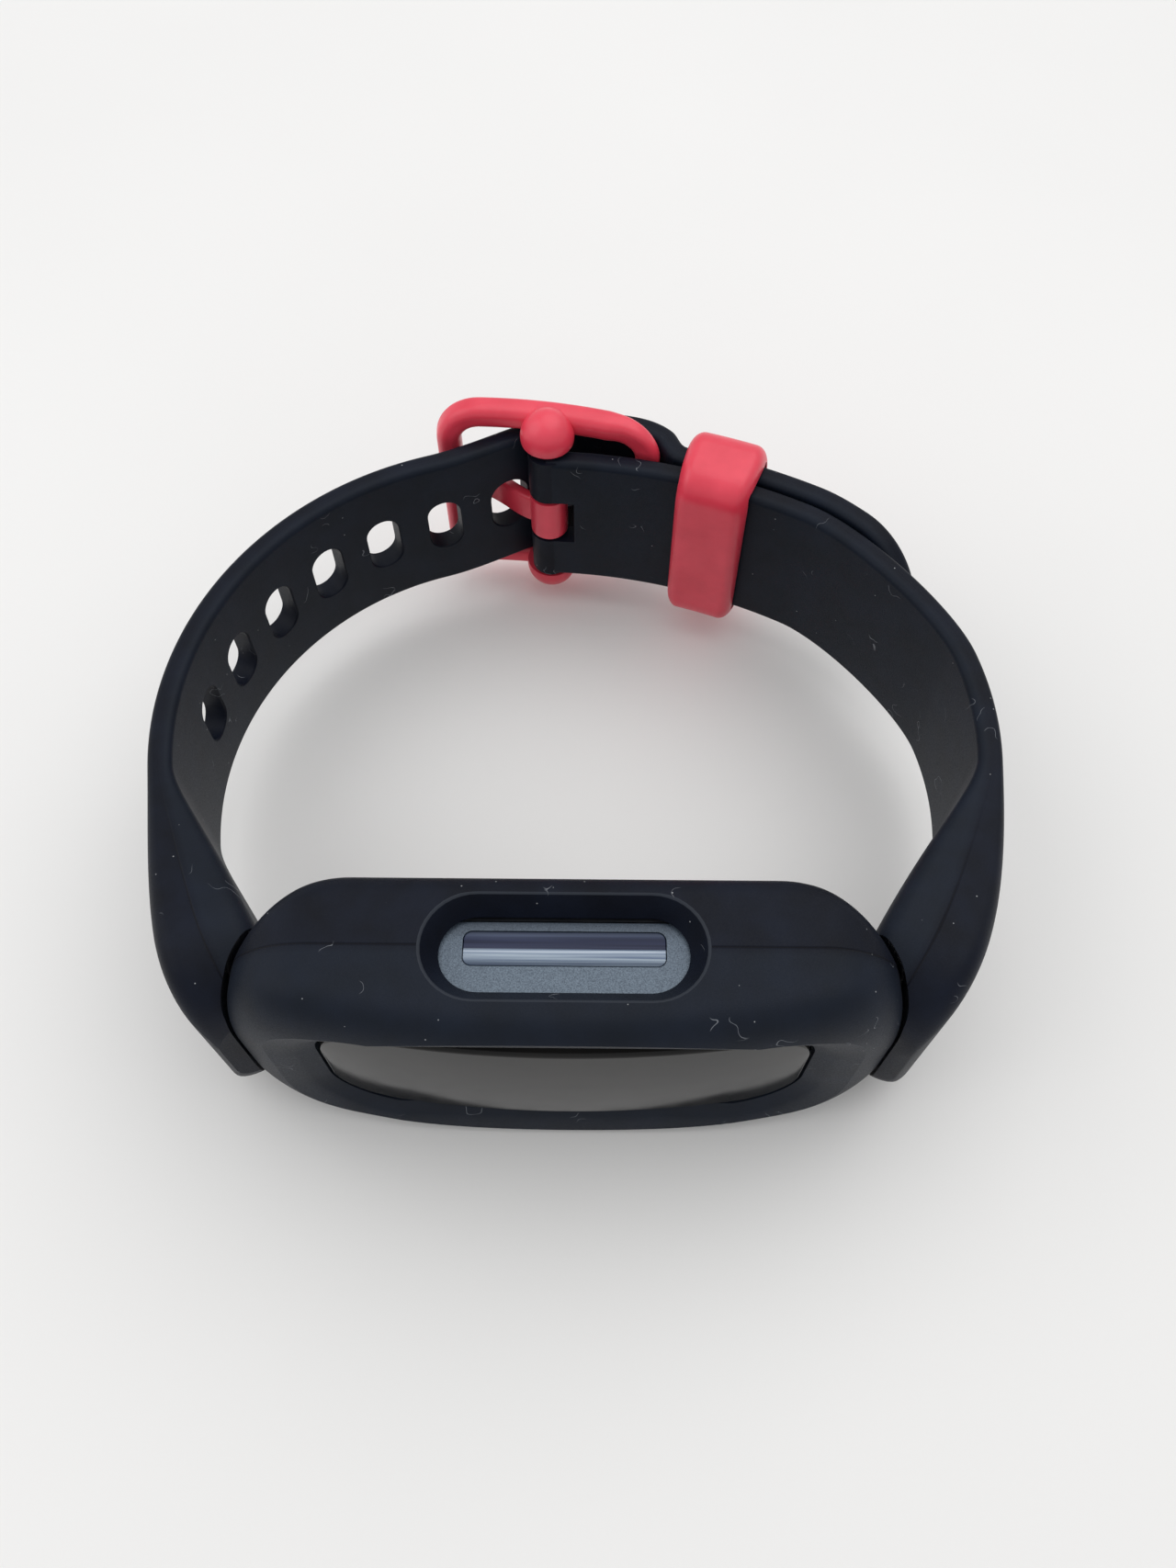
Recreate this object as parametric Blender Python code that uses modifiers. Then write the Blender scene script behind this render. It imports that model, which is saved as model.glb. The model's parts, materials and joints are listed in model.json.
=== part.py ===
"""Fitness tracker band on its side: tracker module in a silicone bumper, two straps, buckle and keeper.

+X runs along the bumper, +Y from the display towards the buckle, +Z across the strap.
The plan is drawn with the middle of the bumper's front at X = Y = 0 and the bumper's lower side on Z = 0.
"""

import math

import bmesh
import bpy
import numpy as np
from mathutils import Matrix, Vector

MM = 0.001

# Clearances
FIT_GAP = 0.3 * MM
SEAT_GAP = 0.1 * MM

# Silicone bumper
BUMPER_LENGTH = 39.2 * MM
BUMPER_HEIGHT = 20.4 * MM
BUMPER_DEPTH = 10.5 * MM
BUMPER_WALL = 1.4 * MM
BUMPER_FRONT_LIP = 1.8 * MM
BUMPER_REAR_LIP = 1.0 * MM
BUMPER_FRONT = -0.45 * MM
FRONT_BOW_RADIUS = 68.0 * MM
END_CORNER_RADIUS = 5.4 * MM
END_NOSE_LENGTH = 4.0 * MM
END_NOSE_FRONT_DROP = 0.8 * MM
END_TAPER_LENGTH = 7.2 * MM
END_TAPER_DROP = 4.2 * MM
END_TAPER_POWER = 2.0
FRONT_EDGE_DEPTH = 3.0 * MM
FRONT_EDGE_FALL = 5.0 * MM
FRONT_EDGE_FULLNESS = 2.5
REAR_EDGE_RADIUS = 1.5 * MM
WINDOW_BEVEL_WIDTH = 2.2 * MM
WINDOW_BEVEL_DEPTH = 1.2 * MM

# Window, lens and display
LENS_LENGTH = 29.0 * MM
LENS_HEIGHT = 12.1 * MM
LENS_CORNER_RADIUS = 3.7 * MM
LENS_RECESS = 1.3 * MM
LENS_BACK = 2.75 * MM
LENS_BOW_RADIUS = 76.0 * MM
GASKET_THICKNESS = 0.15 * MM
GASKET_BAND = 1.0 * MM
FRONT_WALL = 0.9 * MM
DISPLAY_END_GAP = 1.4 * MM
DISPLAY_HEIGHT = 11.0 * MM
DISPLAY_THICKNESS = 1.0 * MM
DISPLAY_OVERLAP = 0.7 * MM

# Side slots and keys
SLOT_RIM_GAP = 2.07 * MM
SLOT_OUTER_LENGTH = 16.3 * MM
SLOT_OUTER_WIDTH = 6.5 * MM
SLOT_INNER_LENGTH = 13.8 * MM
SLOT_INNER_WIDTH = 4.1 * MM
KEY_LENGTH = 11.5 * MM
KEY_WIDTH = 2.05 * MM
KEY_RIM_GAP = 1.6 * MM
KEY_CAP_THICKNESS = 0.6 * MM
KEY_SINK = 0.05 * MM
KEY_TRAVEL = 0.25 * MM
KEY_STEM_LENGTH = 6.0 * MM
KEY_STEM_WIDTH = 1.2 * MM
KEY_SEAL_THICKNESS = 0.4 * MM
KEY_SEAL_BAND = 0.45 * MM
SWITCH_LENGTH = 4.4 * MM
SWITCH_COVER_GAP = 0.7 * MM
SWITCH_HEIGHT = 2.0 * MM
SWITCH_PLUNGER_LENGTH = 1.8 * MM
SWITCH_PLUNGER_HEIGHT = 0.5 * MM

# Module case
CAVITY_LENGTH = 27.2 * MM
CASE_SIDE_WALL = 1.3 * MM
CAVITY_CORNER_RADIUS = 2.0 * MM
COVER_PLATE = 1.1 * MM
COVER_BOSS_LENGTH = 24.0 * MM
COVER_BOSS_SIDE_GAP = 1.0 * MM
COVER_BOSS_RADIUS = 3.0 * MM
COVER_BOSS_SINK = -0.5 * MM
COVER_WALL = 0.9 * MM
COVER_SEAL_WIDTH = 0.5 * MM
COVER_SEAL_DEPTH = 0.5 * MM
CONTACT_RADIUS = 1.0 * MM
CONTACT_SPACING = 6.0 * MM
MAGNET_RADIUS = 1.5 * MM
MAGNET_THICKNESS = 0.65 * MM
MAGNET_END_GAP = 0.2 * MM

# Electronics
BOARD_END_GAP = 1.5 * MM
BOARD_SIDE_GAP = 1.2 * MM
BOARD_THICKNESS = 0.7 * MM
BOARD_GAP = 0.3 * MM
SCREW_RADIUS = 0.5 * MM
SCREW_HEAD_RADIUS = 0.9 * MM
SCREW_HEAD_HEIGHT = 0.4 * MM
SCREW_EDGE = 1.3 * MM
CHIP_THICKNESS = 0.6 * MM
PROCESSOR_SIZE = 4.5 * MM
RADIO_SIZE = 2.6 * MM
MEMORY_SIZE = 2.6 * MM
POWER_CHIP_SIZE = 2.2 * MM
SENSOR_SIZE = 2.0 * MM
CRYSTAL_SIZE = 1.4 * MM
CHIP_PITCH = 0.5 * MM
PROCESSOR_GAP = 0.92 * MM
CONNECTOR_LENGTH = 1.4 * MM
CONNECTOR_OVERLAP = 0.98 * MM
CONNECTOR_WIDTH = 5.0 * MM
CONNECTOR_HEIGHT = 0.55 * MM
FLEX_WIDTH = 4.4 * MM
FLEX_THICKNESS = 0.15 * MM
ANTENNA_LENGTH = 4.6 * MM
ANTENNA_THICKNESS = 0.3 * MM
ANTENNA_END_GAP = 3.3 * MM
BATTERY_END_GAP = 0.4 * MM
BATTERY_SWITCH_GAP = 0.2 * MM
BATTERY_MAGNET_GAP = 0.75 * MM
LEAD_RADIUS = 0.25 * MM
LEAD_SPACING = 1.6 * MM
LEAD_REACH = 1.5 * MM
MOTOR_RADIUS = 3.3 * MM
MOTOR_MAGNET_GAP = 0.7 * MM
MOTOR_END_GAP = 0.55 * MM
MOTOR_WALL = 0.25 * MM
MOTOR_BASE_THICKNESS = 0.3 * MM
MOTOR_SHAFT_RADIUS = 0.35 * MM
WEIGHT_RADIUS = 2.5 * MM
WEIGHT_END_GAP = 0.425 * MM

# Straps
STRAP_WIDTH = 12.8 * MM
STRAP_THICKNESS = 1.6 * MM
STRAP_EDGE_RADIUS = 0.5 * MM
SHOULDER_WIDTH = 17.0 * MM
SHOULDER_EDGE_RADIUS = 2.2 * MM
SHOULDER_NOSE_WIDTH = 7.0 * MM
SHOULDER_NOSE_SHARE = 0.35
SHOULDER_NOSE = (20.5 * MM, 2.2 * MM)
SHOULDER_NOSE_PULL = (2.2 * MM, 1.0 * MM)
SHOULDER_OUTER_PULL = 12.6 * MM
SHOULDER_HEEL = (16.3 * MM, 5.2 * MM)
SHOULDER_HEEL_PULL = (5.9 * MM, 10.3 * MM)
SHOULDER_INNER_PULL = 2.3 * MM
LEFT_ARC_CENTRE = (-3.75 * MM, 23.6 * MM)
LEFT_ARC_RADIUS = 23.4 * MM
LEFT_ARC_FROM = 190.0
LEFT_ARC_TO = 108.0
RIGHT_ARC_CENTRE = (4.7 * MM, 23.0 * MM)
RIGHT_ARC_RADIUS = 23.1 * MM
RIGHT_ARC_FROM = -6.0
RIGHT_ARC_TO = 14.0
BACK_ARC_CENTRE = (-3.4 * MM, 2.9 * MM)
BACK_ARC_RADIUS = 43.6 * MM
BACK_ARC_FROM = 62.0
CORNER_FULLNESS = 0.25
PIVOT_ANGLE = 88.2
HUMP_X = 2.4 * MM
HUMP_RISE = 1.9 * MM
HUMP_SLOPE = -8.0
TAIL_DROP_RUN = 4.9 * MM
TAIL_DROP_FALL = 1.85 * MM
TAIL_DROP_SLOPE = -46.0
TAIL_ARC_TO = 74.9
TAIL_LENGTH_PAST_ARC = 10.0 * MM
TIP_LENGTH = 6.0 * MM
HOLE_LENGTH = 3.1 * MM
HOLE_WIDTH = 4.9 * MM
HOLE_PITCH = 5.2 * MM
HOLE_COUNT = 11
HOLES_BEFORE_USED = 6
USED_HOLE_X = -5.8 * MM

# Buckle and keeper
PIN_RADIUS = 0.6 * MM
KNUCKLE_RADIUS = 1.45 * MM
NOTCH_WIDTH = 4.4 * MM
NOTCH_DEPTH = 3.4 * MM
RING_LEFT_X = -9.5 * MM
RING_LEFT_RISE = 2.25 * MM
RING_RIGHT_X = 5.4 * MM
RING_RIGHT_RISE = 0.1 * MM
RING_BOW = 0.7 * MM
RING_BAR = 1.8 * MM
RING_DEPTH = 2.0 * MM
RING_REAR_BAR_DEPTH = 1.1 * MM
RING_CORNER = 2.4 * MM
BOSS_RADIUS = 2.0 * MM
BOSS_LIFT = 0.4 * MM
BOSS_OFFSET = 0.7 * MM
PIVOT_DEPTH = 0.2 * MM
TONGUE_WIDTH = 2.6 * MM
TONGUE_THICKNESS = 0.9 * MM
TONGUE_OVERHANG = 1.2 * MM
TONGUE_SEAT = 0.6 * MM
TONGUE_RISE = (-2.9 * MM, 0.0 * MM)
TONGUE_REACH = 5.2 * MM
KEEPER_WIDTH = 5.6 * MM
KEEPER_WALL = 1.2 * MM
KEEPER_ANGLE = 71.2
KEEPER_CORNER_RADIUS = 2.3 * MM
KEEPER_EDGE_RADIUS = 0.8 * MM

# Fineness of the faceted solids
RING_STEPS = 3
PLAN_STEPS = 6
FLATNESS = 0.0001 * MM

MIDDLE_Z = BUMPER_HEIGHT / 2
STRAP_LIFT = STRAP_THICKNESS + FIT_GAP
REAR_CREST = BACK_ARC_CENTRE[1] + BACK_ARC_RADIUS
HUMP_TOP = (HUMP_X, REAR_CREST + STRAP_LIFT + HUMP_RISE)
TAIL_DROP = (HUMP_TOP[0] + TAIL_DROP_RUN, HUMP_TOP[1] - TAIL_DROP_FALL)
RING_LEFT = (RING_LEFT_X, REAR_CREST + RING_LEFT_RISE)
RING_RIGHT = (RING_RIGHT_X, REAR_CREST + RING_RIGHT_RISE)
CASE_INSET = BUMPER_WALL + FIT_GAP
CASE_FRONT = BUMPER_FRONT_LIP + FIT_GAP
CASE_REAR_INSET = BUMPER_REAR_LIP + FIT_GAP
CASE_REAR = BUMPER_DEPTH - CASE_REAR_INSET
CASE_HALF_HEIGHT = MIDDLE_Z - CASE_INSET
CAVITY_HALF_HEIGHT = CASE_HALF_HEIGHT - CASE_SIDE_WALL
LENS_SEAT = LENS_BACK + GASKET_THICKNESS + SEAT_GAP
CAVITY_FRONT = LENS_SEAT + FRONT_WALL
DISPLAY_FRONT = CAVITY_FRONT + SEAT_GAP
DISPLAY_BACK = DISPLAY_FRONT + DISPLAY_THICKNESS
BOARD_FRONT = DISPLAY_BACK + BOARD_GAP
BOARD_BACK = BOARD_FRONT + BOARD_THICKNESS
PARTS_FRONT = BOARD_BACK + SEAT_GAP
COVER_FRONT = CASE_REAR - COVER_PLATE
CASE_RIM = COVER_FRONT - SEAT_GAP
COVER_BACK = BUMPER_DEPTH - COVER_BOSS_SINK
POCKET_FLOOR = COVER_BACK - COVER_WALL
BATTERY_FRONT = PARTS_FRONT + CHIP_THICKNESS + SEAT_GAP
COVER_BOSS_HEIGHT = 2 * (CAVITY_HALF_HEIGHT - COVER_BOSS_SIDE_GAP)
COVER_POCKET_HALF = COVER_BOSS_LENGTH / 2 - COVER_WALL
KEY_CENTRE_Y = CASE_RIM - KEY_RIM_GAP
SLOT_CENTRE_Y = CASE_RIM - SLOT_RIM_GAP
SWITCH_DEPTH = COVER_FRONT - SWITCH_COVER_GAP - PARTS_FRONT
ANTENNA_WIDTH = CASE_RIM - COVER_SEAL_DEPTH - BOARD_FRONT
MAGNET_SPACING = 2 * (COVER_POCKET_HALF - MAGNET_END_GAP - MAGNET_RADIUS)
MAGNET_FRONT = POCKET_FLOOR - SEAT_GAP / 2 - MAGNET_THICKNESS
MOTOR_HEIGHT = MAGNET_FRONT - MOTOR_MAGNET_GAP - PARTS_FRONT
MOTOR_X = COVER_POCKET_HALF - MOTOR_END_GAP - MOTOR_RADIUS
BATTERY_LEFT = -COVER_POCKET_HALF + BATTERY_END_GAP
BATTERY_RIGHT = MOTOR_X - MOTOR_RADIUS - LEAD_REACH / 2 - FIT_GAP
BATTERY_THICKNESS = MAGNET_FRONT - BATTERY_MAGNET_GAP - BATTERY_FRONT
SWITCH_LOW = CAVITY_HALF_HEIGHT - KEY_SEAL_THICKNESS - 2 * SEAT_GAP - SWITCH_PLUNGER_HEIGHT - SWITCH_HEIGHT
BATTERY_HEIGHT = 2 * (SWITCH_LOW - BATTERY_SWITCH_GAP)
BOARD_LENGTH = CAVITY_LENGTH - 2 * BOARD_END_GAP
BOARD_HEIGHT = 2 * (CAVITY_HALF_HEIGHT - BOARD_SIDE_GAP)
DISPLAY_LENGTH = CAVITY_LENGTH - 2 * DISPLAY_END_GAP
CONNECTOR_LEFT = -BOARD_LENGTH / 2 + CONNECTOR_OVERLAP
WINDOW_LENGTH = LENS_LENGTH + 2 * FIT_GAP
WINDOW_HEIGHT = LENS_HEIGHT + 2 * FIT_GAP
WINDOW_RADIUS = LENS_CORNER_RADIUS + FIT_GAP

FINISHES = {
    "silicone": ((0.012, 0.016, 0.026), 0.62, 0.0),
    "red_plastic": ((0.72, 0.045, 0.075), 0.48, 0.0),
    "steel": ((0.62, 0.63, 0.65), 0.3, 1.0),
    "dark_glass": ((0.015, 0.016, 0.018), 0.06, 0.0),
    "case_plastic": ((0.055, 0.085, 0.125), 0.42, 0.35),
    "polished_key": ((0.25, 0.3, 0.4), 0.12, 0.9),
    "cover_plastic": ((0.02, 0.022, 0.026), 0.45, 0.0),
    "seal_rubber": ((0.03, 0.03, 0.03), 0.8, 0.0),
    "gasket_foam": ((0.05, 0.05, 0.05), 0.9, 0.0),
    "display_glass": ((0.03, 0.035, 0.04), 0.15, 0.0),
    "flex_film": ((0.45, 0.22, 0.06), 0.4, 0.0),
    "board_green": ((0.02, 0.13, 0.06), 0.5, 0.0),
    "chip_resin": ((0.02, 0.02, 0.022), 0.55, 0.0),
    "gold_plate": ((0.85, 0.62, 0.25), 0.25, 1.0),
    "cell_foil": ((0.55, 0.57, 0.6), 0.35, 0.8),
    "lead_red": ((0.6, 0.03, 0.03), 0.5, 0.0),
    "lead_black": ((0.02, 0.02, 0.02), 0.5, 0.0),
    "connector_plastic": ((0.75, 0.73, 0.68), 0.5, 0.0),
    "tungsten": ((0.35, 0.35, 0.36), 0.45, 0.9),
}


# ---------------------------------------------------------------- scene


def clear_scene():
    """Remove every object that is already in the scene."""
    for item in list(bpy.data.objects):
        bpy.data.objects.remove(item, do_unlink=True)


def make_collection(name):
    """A new collection under the scene's own."""
    group = bpy.data.collections.new(name)
    bpy.context.scene.collection.children.link(group)
    return group


def finish(name):
    """The Principled material of one of the finishes."""
    material = bpy.data.materials.get(name)
    if material is None:
        colour, roughness, metallic = FINISHES[name]
        material = bpy.data.materials.new(name)
        material.use_nodes = True
        shader = material.node_tree.nodes["Principled BSDF"]
        shader.inputs["Base Color"].default_value = (*colour, 1.0)
        shader.inputs["Roughness"].default_value = roughness
        shader.inputs["Metallic"].default_value = metallic
        material.diffuse_color = (*colour, 1.0)
    return material


def add_object(name, mesh, material=None, origin=(0.0, 0.0, 0.0)):
    """Link a mesh under the band's root, with its object origin at a given point."""
    obj = bpy.data.objects.new(name, mesh)
    if material is None:
        cutters.objects.link(obj)
        obj.hide_render = True
        obj.display_type = "WIRE"
    else:
        parts.objects.link(obj)
        mesh.materials.append(finish(material))
    mesh.transform(Matrix.Translation(-Vector(origin)))
    obj.location = origin
    obj.parent = root
    return obj


def boolean(obj, other, operation="DIFFERENCE"):
    """Cut or join one solid with another."""
    step = obj.modifiers.new(other.name, "BOOLEAN")
    step.operation = operation
    step.solver = "EXACT"
    step.object = other


def bent(face):
    """Whether a face's corners lie off one plane."""
    middle, normal = face.calc_center_median(), face.normal
    return max(abs((vert.co - middle).dot(normal)) for vert in face.verts) > FLATNESS


def mesh_from(name, build):
    """A mesh made by a function that fills a bmesh, with its bent faces split so that cuts are clean."""
    bm = bmesh.new()
    build(bm)
    bm.normal_update()
    bmesh.ops.triangulate(bm, faces=[face for face in bm.faces if bent(face)])
    bmesh.ops.recalc_face_normals(bm, faces=bm.faces)
    mesh = bpy.data.meshes.new(name)
    bm.to_mesh(mesh)
    bm.free()
    mesh.shade_smooth()
    mesh.set_sharp_from_angle(angle=math.radians(35))
    return mesh


# ---------------------------------------------------------------- plan curves


def polar(centre, radius, degrees):
    """A point on a circle of the plan."""
    angle = math.radians(degrees)
    return np.array([centre[0] + radius * math.cos(angle), centre[1] + radius * math.sin(angle)])


def arc(centre, radius, start, end, step=3.0):
    """Points along a circular arc of the plan."""
    count = max(3, int(abs(end - start) / step) + 1)
    return np.array([polar(centre, radius, a) for a in np.linspace(start, end, count)])


def bezier(p0, p1, p2, p3, count):
    """Points along a cubic Bezier curve of the plan."""
    t = np.linspace(0.0, 1.0, count)[:, None]
    p0, p1, p2, p3 = (np.array(p, dtype=float) for p in (p0, p1, p2, p3))
    return (1 - t) ** 3 * p0 + 3 * (1 - t) ** 2 * t * p1 + 3 * (1 - t) * t**2 * p2 + t**3 * p3


def turn(degrees):
    """The unit vector at an angle of the plan."""
    return np.array([math.cos(math.radians(degrees)), math.sin(math.radians(degrees))])


def blend(p0, heading0, p1, heading1, count=9, fullness=0.36):
    """A smooth curve that leaves one point and reaches another along given headings."""
    p0, p1 = np.array(p0, dtype=float), np.array(p1, dtype=float)
    pull = fullness * np.linalg.norm(p1 - p0)
    return bezier(p0, p0 + pull * turn(heading0), p1 - pull * turn(heading1), p1, count)


def chain(*pieces):
    """Curves joined end to end, without doubling the points where they meet."""
    return np.concatenate([pieces[0]] + [piece[1:] for piece in pieces[1:]])


def lengths(path):
    """The distance from the start of a path to each of its points."""
    return np.concatenate([[0.0], np.cumsum(np.linalg.norm(np.diff(path, axis=0), axis=1))])


def resample(path, stations):
    """Points of a path at given distances from its start."""
    along = lengths(path)
    return np.column_stack([np.interp(stations, along, path[:, k]) for k in range(2)])


def normals(path):
    """Unit vectors to the left of a path."""
    ahead = np.gradient(path, axis=0)
    ahead /= np.linalg.norm(ahead, axis=1)[:, None]
    return np.column_stack([-ahead[:, 1], ahead[:, 0]])


# ---------------------------------------------------------------- solids


def loft_mesh(name, rings):
    """A closed solid through rings of equally many points."""

    def build(bm):
        rows = [[bm.verts.new(Vector(p)) for p in ring] for ring in rings]
        for near, far in zip(rows, rows[1:]):
            for k in range(len(near)):
                nxt = (k + 1) % len(near)
                bm.faces.new((near[k], near[nxt], far[nxt], far[k]))
        bm.faces.new(rows[0][::-1])
        bm.faces.new(rows[-1])

    return mesh_from(name, build)


def rounded_outline(half_a, half_b, radius_a, radius_b, steps=RING_STEPS):
    """A rectangle of half sizes with elliptical corners, as (a, b) points."""
    radius_a, radius_b = min(radius_a, 0.98 * half_a), min(radius_b, 0.98 * half_b)
    points = []
    for quarter, (sa, sb) in enumerate(((1, 1), (-1, 1), (-1, -1), (1, -1))):
        for k in range(steps + 1):
            angle = math.radians(90 * quarter + 90 * k / steps)
            a = sa * (half_a - radius_a) + radius_a * math.cos(angle)
            b = sb * (half_b - radius_b) + radius_b * math.sin(angle)
            points.append((a, b))
    return points


def stadium_outline(length, width, steps=6):
    """A slot outline with round ends, long along its first axis."""
    straight, radius = (length - width) / 2, width / 2
    points = []
    for side in (1, -1):
        for k in range(steps + 1):
            angle = math.radians(-90 + 180 * k / steps)
            points.append((side * (straight + radius * math.cos(angle)), side * radius * math.sin(angle)))
    return points


def prism_mesh(name, outline, height):
    """A flat outline of 3D points, extruded by a vector."""

    def build(bm):
        face = bm.faces.new([bm.verts.new(p) for p in outline])
        raised = bmesh.ops.extrude_face_region(bm, geom=[face], use_keep_orig=True)
        tops = [item for item in raised["geom"] if isinstance(item, bmesh.types.BMVert)]
        bmesh.ops.translate(bm, vec=height, verts=tops)

    return mesh_from(name, build)


def prism_y(name, outline, low, high, material=None, **where):
    """A prism along Y from an outline in X and Z about the middle of the bumper."""
    points = [(a, low, MIDDLE_Z + b) for a, b in outline]
    return add_object(name, prism_mesh(name, points, (0.0, high - low, 0.0)), material, **where)


def prism_z(name, outline, low, high, material=None, centre=(0.0, 0.0), **where):
    """A prism along Z from an outline in X and Y."""
    points = [(centre[0] + a, centre[1] + b, low) for a, b in outline]
    return add_object(name, prism_mesh(name, points, (0.0, 0.0, high - low)), material, **where)


def block(name, low, high, material=None, **where):
    """A box between two corners."""
    low, high = np.minimum(low, high), np.maximum(low, high)

    def build(bm):
        bmesh.ops.create_cube(bm, size=1.0)
        bmesh.ops.scale(bm, vec=high - low, verts=bm.verts)
        bmesh.ops.translate(bm, vec=(low + high) / 2, verts=bm.verts)

    return add_object(name, mesh_from(name, build), material, **where)


def cylinder(name, radius, start, end, material=None, segments=24, **where):
    """A round bar between two points."""
    start, end = Vector(start), Vector(end)
    lie = (end - start).to_track_quat("Z", "Y").to_matrix().to_4x4()
    place = Matrix.Translation((start + end) / 2) @ lie

    def build(bm):
        length = (end - start).length
        bmesh.ops.create_cone(
            bm, cap_ends=True, segments=segments, radius1=radius, radius2=radius, depth=length, matrix=place
        )

    return add_object(name, mesh_from(name, build), material, **where)


# ---------------------------------------------------------------- bumper and module case


def front_line(x):
    """How far the bumper's front stands back at a distance from its middle."""
    nose = max(0.0, (x - BUMPER_LENGTH / 2) / END_NOSE_LENGTH + 1.0)
    drop = END_NOSE_FRONT_DROP * (1 - math.sqrt(max(0.0, 1 - nose**2)))
    return BUMPER_FRONT + x**2 / (2 * FRONT_BOW_RADIUS) + drop


def rear_line(x):
    """Where the bumper's rear stands at a distance from its middle."""
    taper = max(0.0, (x - BUMPER_LENGTH / 2) / END_TAPER_LENGTH + 1.0)
    return BUMPER_DEPTH - END_TAPER_DROP * taper**END_TAPER_POWER


def half_height(x):
    """Half the bumper's height at a distance from its middle."""
    corner = max(0.0, (x - BUMPER_LENGTH / 2) / END_CORNER_RADIUS + 1.0)
    return MIDDLE_Z - END_CORNER_RADIUS * (1 - math.sqrt(max(0.0, 1 - corner**2)))


def pod_mesh(name, side, front, rear):
    """The bumper's outer form, drawn in by a side wall, a front wall and a rear wall."""
    half_length = BUMPER_LENGTH / 2 - side
    flat = half_length - END_CORNER_RADIUS
    inner = np.linspace(0.0, flat, PLAN_STEPS)
    outer = flat + END_CORNER_RADIUS * np.sin(np.linspace(0.0, math.pi / 2, PLAN_STEPS + 1))[1:]
    right = np.concatenate([inner, outer])
    stations = np.concatenate([-right[:0:-1], right])
    rings = []
    for x in stations:
        low, high = front_line(abs(x)) + front, rear_line(abs(x)) - rear
        tall = half_height(abs(x) * BUMPER_LENGTH / 2 / half_length) - side
        depth = high - low
        front_y, front_z = min(FRONT_EDGE_DEPTH - front / 2, 0.55 * depth), min(FRONT_EDGE_FALL, 0.7 * tall)
        rear_r = min(REAR_EDGE_RADIUS, 0.3 * depth, 0.4 * tall)
        ring = []
        for k in range(2 * RING_STEPS + 1):
            angle = 0.5 * math.pi * k / (2 * RING_STEPS)
            full = 2 / FRONT_EDGE_FULLNESS
            y_share, z_share = 1 - math.sin(angle) ** full, 1 - math.cos(angle) ** full
            ring.append((low + front_y * y_share, tall - front_z * z_share))
        ring = ring[::-1]
        for k in range(RING_STEPS + 1):
            angle = 0.5 * math.pi * k / RING_STEPS
            ring.append((high - rear_r * (1 - math.sin(angle)), tall - rear_r * (1 - math.cos(angle))))
        ring += [(y, -z) for y, z in ring[::-1]]
        rings.append([(x, y, MIDDLE_Z + z) for y, z in ring])
    return loft_mesh(name, rings)


def slot_cutter(name, side):
    """The flared slot in one side of the bumper, stadium to larger stadium."""
    slope = (SLOT_OUTER_LENGTH - SLOT_INNER_LENGTH) / CASE_INSET / 2
    rings = []
    for depth in (CASE_INSET + FIT_GAP, CASE_INSET, 0.0, -FIT_GAP):
        grow = 2 * slope * (CASE_INSET - depth) if depth < CASE_INSET else 0.0
        z = MIDDLE_Z + side * (MIDDLE_Z - depth)
        widen = grow * (SLOT_OUTER_WIDTH - SLOT_INNER_WIDTH) / (SLOT_OUTER_LENGTH - SLOT_INNER_LENGTH)
        outline = stadium_outline(SLOT_INNER_LENGTH + grow, SLOT_INNER_WIDTH + widen)
        rings.append([(a, SLOT_CENTRE_Y + b, z) for a, b in outline])
    return add_object(name, loft_mesh(name, rings))


def window_cutter():
    """The window's opening, with a bevelled edge that follows the front's bow."""
    rings = []
    rim, flare = WINDOW_BEVEL_DEPTH, 2 * WINDOW_BEVEL_WIDTH
    stations = (
        (-3 * rim, flare, 0.0),
        (-rim, flare, 1.0),
        (rim, 0.0, 1.0),
        (BUMPER_DEPTH / 2, 0.0, 0.0),
    )
    for y, grow, bow in stations:
        half_x, half_z = WINDOW_LENGTH / 2 + grow, WINDOW_HEIGHT / 2 + grow
        outline = rounded_outline(half_x, half_z, WINDOW_RADIUS + grow, WINDOW_RADIUS + grow, 5)
        ring = []
        for a, b in outline:
            face = BUMPER_FRONT + a**2 / (2 * FRONT_BOW_RADIUS)
            ring.append((a, y + bow * face, MIDDLE_Z + b))
        rings.append(ring)
    return add_object("window_cutter", loft_mesh("window_cutter", rings))


def make_bumper():
    """Silicone frame with the window, the rear opening and a slot on each side."""
    bumper = add_object("bumper_frame", pod_mesh("bumper_frame", 0.0, 0.0, 0.0), "silicone")
    hollow = pod_mesh("bumper_hollow", BUMPER_WALL, BUMPER_FRONT_LIP, BUMPER_REAR_LIP)
    boolean(bumper, add_object("bumper_hollow", hollow))
    boolean(bumper, window_cutter())
    rear = rounded_outline(
        COVER_BOSS_LENGTH / 2 + FIT_GAP,
        COVER_BOSS_HEIGHT / 2 + FIT_GAP,
        COVER_BOSS_RADIUS + FIT_GAP,
        COVER_BOSS_RADIUS + FIT_GAP,
        4,
    )
    boolean(bumper, prism_y("rear_opening_cutter", rear, BUMPER_DEPTH / 2, BUMPER_DEPTH + FIT_GAP))
    boolean(bumper, slot_cutter("slot_cutter_upper", 1))
    boolean(bumper, slot_cutter("slot_cutter_lower", -1))
    return bumper


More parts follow.
